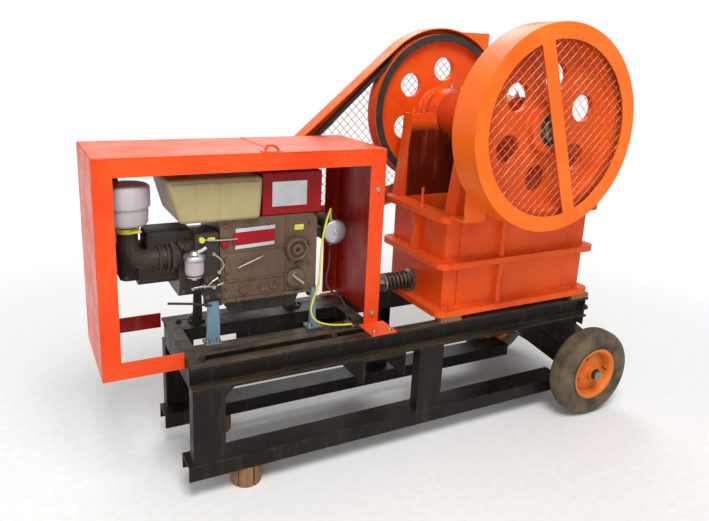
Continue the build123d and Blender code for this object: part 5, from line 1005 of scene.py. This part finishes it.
# %% Fuel filter
glass = lathe(at(55, -80, 784), UP,
              [(0, 0), (12, 0), (18, 3), (30, 8), (33, 16), (33, 58), (31, 62), (0, 62)], 48)
settle(glass, "fuel_glass", "silver", "fuel_filter", finish="pale_plastic")
cap = lathe(at(55, -80, 844), UP,
            [(0, 0), (36, 0), (38, 3), (38, 12), (34, 17), (20, 20), (12, 30), (0, 30)], 48)
spout = bar([(55, -80, 866), (76, -84, 872), (96, -84, 884)], 7, 8, 3)
saucer = lathe(at(55, -80, 770), UP, [(0, 0), (10, 0), (12, 8), (26, 10), (28, 16), (0, 16)], 36)
settle(joined([cap, spout, saucer]), "fuel_filter_cap", "silver")

# %% Generator
casing = lathe(at(632, -6, 870), FAR,
               [(0, 0), (50, 0), (51, 4), (51, 118), (50, 124), (44, 132), (30, 137), (0, 140)], 64)
arm = slab((526, 13, 850), (600, 73, 890), 4)
settle(joined([casing, arm]), "generator_body", "pipe_black", "generator")
face = lathe(at(632, -5, 870), NEAR,
             [(0, 11), (8, 11), (10, 8), (30, 7.5), (42, 5), (47.5, 1), (48, 0), (0, 0)], 56)
settle(face, "generator_face", "silver")
posts = [slab((607, -7, 905), (621, 7, 924), 1.5), slab((613, 3, 816), (627, 17, 834), 1.5)]
settle(joined(posts), "generator_terminals", "bright_steel")

# %% Engine feet
def foot(x, y, top, base, lean):
    """A flared casting under the engine: a web on a bolted plate, with a rib behind."""
    head = x + lean
    web = plate([(across, y - 12, z) for across, z in (
        (x - base, 520), (x + base, 520), (head + top + 4, 560), (head + top, 676),
        (head - top, 676), (head - top - 4, 560))], FAR, 12, 3)
    rib = plate([(head - 5, y + back, z)
                 for back, z in ((-2, 520), (22, 520), (8, 660), (-2, 676))], AHEAD, 10, 2)
    return [web, rib, slab((x - 30, y - 25, 512), (x + 30, y + 25, 522), 2)]


near_feet = foot(119, -60, 21, 27, 4) + foot(522, -60, 9, 15, -6)
far_feet = foot(119, 158, 14, 20, 4) + foot(522, 158, 11, 16, -6)
settle(joined(near_feet), "near_engine_feet", "blue_paint", "engine_feet", angle=40)
# The far feet take the dark pipe paint as painted shade under the engine; the near ones keep their
# blue.
settle(joined(far_feet), "far_engine_feet", "pipe_black", angle=40)
arms = [slab((95, y - 16, 652), (160, y + 16, 692), 5) for y in (-48, 146)]
arms += [slab((498, y - 14, 640), (532, y + 14, 684), 5) for y in (-48, 146)]
settle(joined(arms), "foot_arms", "pipe_black")
foot_bolts = [(x + side, y, 522, UP) for x in (119, 522) for side in (-20, 20) for y in (-76, 174)]
bolts("foot_bolts", 9, foot_bolts, "bright_steel", stub=14)

# %% [markdown]
# ## The jaw body
# The body is welded from thick plate. Three flanges run round it, with large round corners where a
# sharp one would catch a sleeve or a rope, and webs with a hollow edge stiffen the walls between
# them. The two end walls are built again here with those corners. Weld beads then follow the main
# joints.

# %% End walls with round flange corners
LEVELS = (534, 736, 926)
FLANGE = 26
REAR_END, FRONT_END = 1030, 1785
WALL, HALF_WIDTH, CORNER = 30, 195, 41


def flange_strip(x, direction, level):
    """A flange across an end of the jaw with round corners."""
    turns = [step * pi / 16 for step in range(9)]
    corner = [(x + direction * (1 + CORNER * sin(turn)), HALF_WIDTH + CORNER * cos(turn))
              for turn in turns]
    edge = HALF_WIDTH + CORNER
    outline = [(x, edge)] + corner + [(across, -y) for across, y in reversed(corner)] + [(x, -edge)]
    return plate([(across, y, level) for across, y in outline], UP, FLANGE, 3)


def hollow_web(x, direction, y, low, high):
    """A web between two flanges with a hollow free edge."""
    shares = [step / 10 for step in range(11)]
    edge = [(x + direction * (36 - 12 * sin(pi * share)), y - 11, low + (high - low) * share)
            for share in shares]
    return plate([(x, y - 11, high), (x, y - 11, low)] + edge, FAR, 22, 2)


rear = [slab((REAR_END, -164, 534), (REAR_END + WALL, 164, 952), 1)]
rear += [flange_strip(REAR_END, -1, level) for level in LEVELS]
rear.append(hollow_web(REAR_END, -1, 0, 762, 926))
rear = carve(joined(rear), [slab((960, 16, 574), (1100, 52, 654), 17)])
settle(rear, "jaw_rear", "red_jaw", "jaw_rear_wall")
front = [slab((FRONT_END - WALL, -164, 534), (FRONT_END, 164, 1097), 1)]
front += [flange_strip(FRONT_END, 1, level) for level in LEVELS]
front += [hollow_web(FRONT_END, 1, y, low + FLANGE, high)
          for y in (-92, 92) for low, high in zip(LEVELS, (736, 926, 1097))]
settle(joined(front), "jaw_front", "red_jaw", "jaw_front_wall")

# %% Weld beads
LONG_RUN = ((1032, 195), (1097, 195), (1101, 200), (1679, 200), (1683, 195), (1783, 195))
JOINTS = (560, 736, 762, 926)
beads = []
for side in (-1, 1):
    beads += [bar([(x, side * y, z) for x, y in LONG_RUN], 4.5) for z in JOINTS]
    beads += [bar([(x, side * 200, low), (x, side * 200, high)], 3.5)
              for x in (1289, 1313) for low, high in ((562, 734), (764, 924))]
beads += [bar([(1029, -192, z), (1029, 192, z)], 4.5) for z in JOINTS]
settle(joined(beads), "jaw_welds", "red_jaw", angle=60)

# %% Bearing covers, grease nipples and cap bolts
covers = [lathe(along(SHAFT, side * 236), FAR * side,
                [(50, 0), (50, 14), (56, 16), (78, 16), (82, 10), (96, 10), (99, 7), (99, 0)], 64)
          for side in (-1, 1)]
nipples = [lathe(at(SHAFT[0], side * 214, 1412), UP,
                 [(0, 24), (4, 24), (5, 19), (3, 15), (8, 13), (9, 0), (0, 0)], 16)
           for side in (-1, 1)]
settle(joined(covers), "bearing_covers", "red_jaw")
settle(joined(nipples), "grease_nipples", "bright_steel")
ear_bolts = [(x, side * 200, SHAFT[1], UP) for x in (1098, 1148, 1452, 1502) for side in (-1, 1)]
bolts("ear_bolts", 16, ear_bolts, "red_jaw", stub=22)
ring_bolts = [(*around(SHAFT, 89, pi * (step + 0.5) / 3, side * 246), FAR * side)
              for step in range(6) for side in (-1, 1)]
bolts("cover_ring_bolts", 8, ring_bolts, "cast_steel")
base_bolts = [(x, side * 217, 560, UP) for x in (1060, 1752) for side in (-1, 1)]
bolts("base_bolts", 11, base_bolts, "red_jaw", stub=13)
pin = bar([(1008, -44, 950), (1008, -44, 1034)], 6, 0, 3)
settle(joined([pin, drum(at(1008, -44, 952), UP, 13, 9, 6, 1.5)]), "flange_pin", "red_jaw")
bolts("guard_foot_bolts", 9, [(1716, -325, 1172, NEAR), (1646, -325, 1158, NEAR)], "cast_steel")

# %% Painted shade on the swing jaw's back and on the sump, and the dark rings of the flywheels
# The swing jaw takes a darker copy of the jaw paint as painted shade, darker still below its hub.
finishes["jaw_inside"] = painted(
    "oily jaw", (216, 74, 20), (190, 54, 12), (60, 34, 24), (70, 44, 30), 0.5, (95, 0.0016),
    wear=0.5, grime=0.9, settled=0.4,
    zone=(lambda finish: finish.beyond("Z", 1.235, 1.19), (84, 28, 16)))
nodes["swing_jaw"].data.materials[0] = finishes["jaw_inside"]
# The sump takes the dark pipe paint as painted shade under the engine.
nodes["engine_sump"].data.materials[0] = finishes["pipe_black"]
for y, name in ((286.6, "far_flywheel_band"), (-334.6, "near_flywheel_band")):
    band = lathe(along(SHAFT, y), FAR, [(307, 0), (338.6, 0), (338.6, 3), (307, 3)], 112)
    settle(band, name, "rubber", body="crusher_rotor")

# %% [markdown]
# ## Spring, struts and supports
# The spring keeps the swing jaw against its toggle. It is one line wound round the rod and given a
# round section. The struts are flat bars, and the supports are sawn pieces of log that have dried
# and split, so thin wedges are cut out of each.

# %% Spring
TURNS, STEPS = 6, 20
COIL_START, COIL_LENGTH, COIL_RADIUS = 899, 115, 34
ROD_Y, ROD_Z = 34, 614
coil = []
for step in range(TURNS * STEPS + 1):
    turn = 2 * pi * step / STEPS
    coil.append((COIL_START + COIL_LENGTH * step / (TURNS * STEPS),
                 ROD_Y + COIL_RADIUS * cos(turn), ROD_Z + COIL_RADIUS * sin(turn)))
settle(bar(coil, 6, 0, 3), "rod_spring", "cast_steel", "tension_spring", angle=50)

# %% Struts and small parts of the frame
def strut(x, z, far_x, far_z, y):
    """A flat bar on edge between two places at one depth."""
    run = Vector((far_x - x, far_z - z)).normalized() * 16
    corners = ((x - run.y, z + run.x), (far_x - run.y, far_z + run.x),
               (far_x + run.y, far_z - run.x), (x + run.y, z - run.x))
    return plate([(across, y - 4, up) for across, up in corners], FAR, 8, 1)


struts = [strut(1582, 410, 1752, 284, side * 200) for side in (-1, 1)]
struts += [strut(1459, 410, 1680, 244, side * 188) for side in (-1, 1)]
settle(joined(struts), "frame_struts", "black_paint")
frame_bolts = [(1806, -241, 470, NEAR), (1806, 241, 470, FAR)]
frame_bolts += [(x, side * 170, 512, UP) for x in (52, 560) for side in (-1, 1)]
bolts("frame_bolts", 12, frame_bolts, "cast_steel", stub=14)

# %% Support logs
LOG = (206, 186)
for side, name in ((-1, "near_log"), (1, "far_log")):
    x, y = LOG[0], side * LOG[1]
    log = lathe(at(x, y, 0), UP,
                [(0, 0), (55, 0), (57, 4), (58, 40), (56, 76), (53, 79.6), (0, 79.6)], 40)
    wedges = []
    for turn, wide in ((-1.35, 5), (-2.4, 3), (0.4, 4), (2.2, 3)):
        out = Vector((cos(turn), sin(turn)))
        across = Vector((-out.y, out.x)) * wide
        corners = (out * 20, out * 70 + across, out * 70 - across)
        wedges.append(plate([(x + corner.x, y + corner.y, -5) for corner in corners], UP, 100, 0))
    settle(carve(log, wedges), name, "wood", "support_blocks" if side < 0 else None)

# %% [markdown]
# ## Small parts of the box
# The box is bent from sheet and closed with short welds. Its mitred corners show as thin raised
# lines, bolts hold its feet to the rails, and the engine's two cables end in lugs under nuts.

# %% Seams, bolts and lugs
BOX_NEAR, BOX_FAR, BOX_TOP = -134.2, 255.2, 1211
seams = [bar([(x + inward, y, BOX_TOP), (x + inward * 60, y, BOX_TOP - 59)], 1.6, 0, 1)
         for x, inward in ((-269, 1), (770, -1)) for y in (BOX_NEAR, BOX_FAR)]
seams.append(bar([(-268, BOX_NEAR, 467), (-209, BOX_NEAR, 526)], 1.6, 0, 1))
seams += [bar([(-268, y, 1212.4), (769, y, 1212.4)], 2.2, 0, 1) for y in (-133, 254)]
seams.append(bar([(-269.6, -133.4, 468), (-269.6, -133.4, 1210)], 2.2, 0, 1))
seams.append(bar([(333, BOX_NEAR, 1152), (333, BOX_NEAR, 1215.4), (333, BOX_FAR, 1215.4)],
                 2.4, 0, 1))
settle(joined(seams), "box_seams", "orange_box", angle=60)
hook = bar([(296, -118, 1214), (300, -118, 1236), (316, -128, 1240), (336, -130, 1232),
            (344, -126, 1214)], 5, 10, 3)
hook_plate = slab((284, -134, 1214), (356, -96, 1219), 1.5)
settle(joined([hook, hook_plate]), "roof_hook", "orange_box")
box_bolts = [(742, -134, 1060, NEAR), (742, 255, 1060, FAR), (742, -134, 560, NEAR)]
box_bolts += [(x, side * 215, 518, UP) for x in (712, 778) for side in (-1, 1)]
bolts("box_bolts", 9, box_bolts, "bright_steel", stub=10)
lugs = [lathe(at(x, y, 524), UP, [(4, 0), (13, 0), (14, 1.5), (13, 3), (4, 3)], 24)
        for x, y in ((662, -134), (656, -96))]
settle(joined(lugs), "cable_lugs", "bright_steel")
bolts("stud_nuts", 7, [(662, -134, 527, UP), (656, -96, 527, UP)], "cast_steel", stub=12)

# %% [markdown]
# ## Floor and light
# A catalogue picture stands on white. A floor that is simply brighter would spoil the light on the
# machine, so the floor and the world turn white only for the rays that come from the camera or from
# a mirror-like surface. Near the machine the floor keeps its own pale colour, and so its shadow.

# %% Floor
def seen_directly(tree):
    """1 for a ray from the camera, a mirror or glass, and 0 for one that brings light."""
    path = tree.nodes.new("ShaderNodeLightPath")
    seen = path.outputs["Is Camera Ray"]
    for kind in ("Is Glossy Ray", "Is Transmission Ray"):
        either = tree.nodes.new("ShaderNodeMath")
        either.operation = "MAXIMUM"
        tree.links.new(seen, either.inputs[0])
        tree.links.new(path.outputs[kind], either.inputs[1])
        seen = either.outputs[0]
    return seen


let_go()
bpy.ops.mesh.primitive_plane_add(size=60)
floor = bpy.context.object
floor.name = "floor"
ground = Finish("pale floor")
speck = ground.band(ground.noise(30, 5), 0.3, 0.7)
ground.show(ground.mix(speck, (238, 238, 236), (232, 231, 228)), 0.9)
distance = ground.add("ShaderNodeVectorMath", {0: ground.place}, operation="LENGTH")
away = ground.band(distance.outputs["Value"], 1.5, 3.0)
white = ground.add("ShaderNodeEmission", {"Strength": 1.0}).outputs[0]
blend = ground.add("ShaderNodeMixShader", {
    0: ground.math(away, seen_directly(ground.network)), 1: ground.shader.outputs[0], 2: white})
ground.fill(ground.network.nodes["Material Output"], {"Surface": blend.outputs[0]})
floor.data.materials.append(ground.material)
print("floor", floor.dimensions.x, "m wide")

# %% Light
world = bpy.data.worlds.new("studio")
world.use_nodes = True
bpy.context.scene.world = world
sky = world.node_tree
soft = sky.nodes["Background"]
soft.inputs["Color"].default_value = (0.94, 0.97, 1.0, 1)
soft.inputs["Strength"].default_value = 0.46
clear = sky.nodes.new("ShaderNodeBackground")
clear.inputs["Color"].default_value = (1, 1, 1, 1)
choose = sky.nodes.new("ShaderNodeMixShader")
for socket, source in enumerate((seen_directly(sky), soft.outputs[0], clear.outputs[0])):
    sky.links.new(source, choose.inputs[socket])
sky.links.new(choose.outputs[0], sky.nodes["World Output"].inputs["Surface"])


def soft_box(name, place, size, power):
    """A square lamp that looks at the middle of the machine."""
    lamp = bpy.data.lights.new(name, "AREA")
    lamp.size = size
    lamp.energy = power
    holder = bpy.data.objects.new(name, lamp)
    bpy.context.scene.collection.objects.link(holder)
    holder.location = place
    aim = Vector((0, 0, 0.8)) - Vector(place)
    holder.rotation_euler = aim.to_track_quat("-Z", "Y").to_euler()
    print(name, power, "watts")


soft_box("key light", (-1.0, -2.6, 5.2), 2.2, 230)
soft_box("fill light", (-3.4, -3.4, 1.8), 2.5, 50)
soft_box("back light", (1.6, 3.6, 4.4), 3.0, 90)
bpy.context.scene.view_settings.view_transform = "Standard"
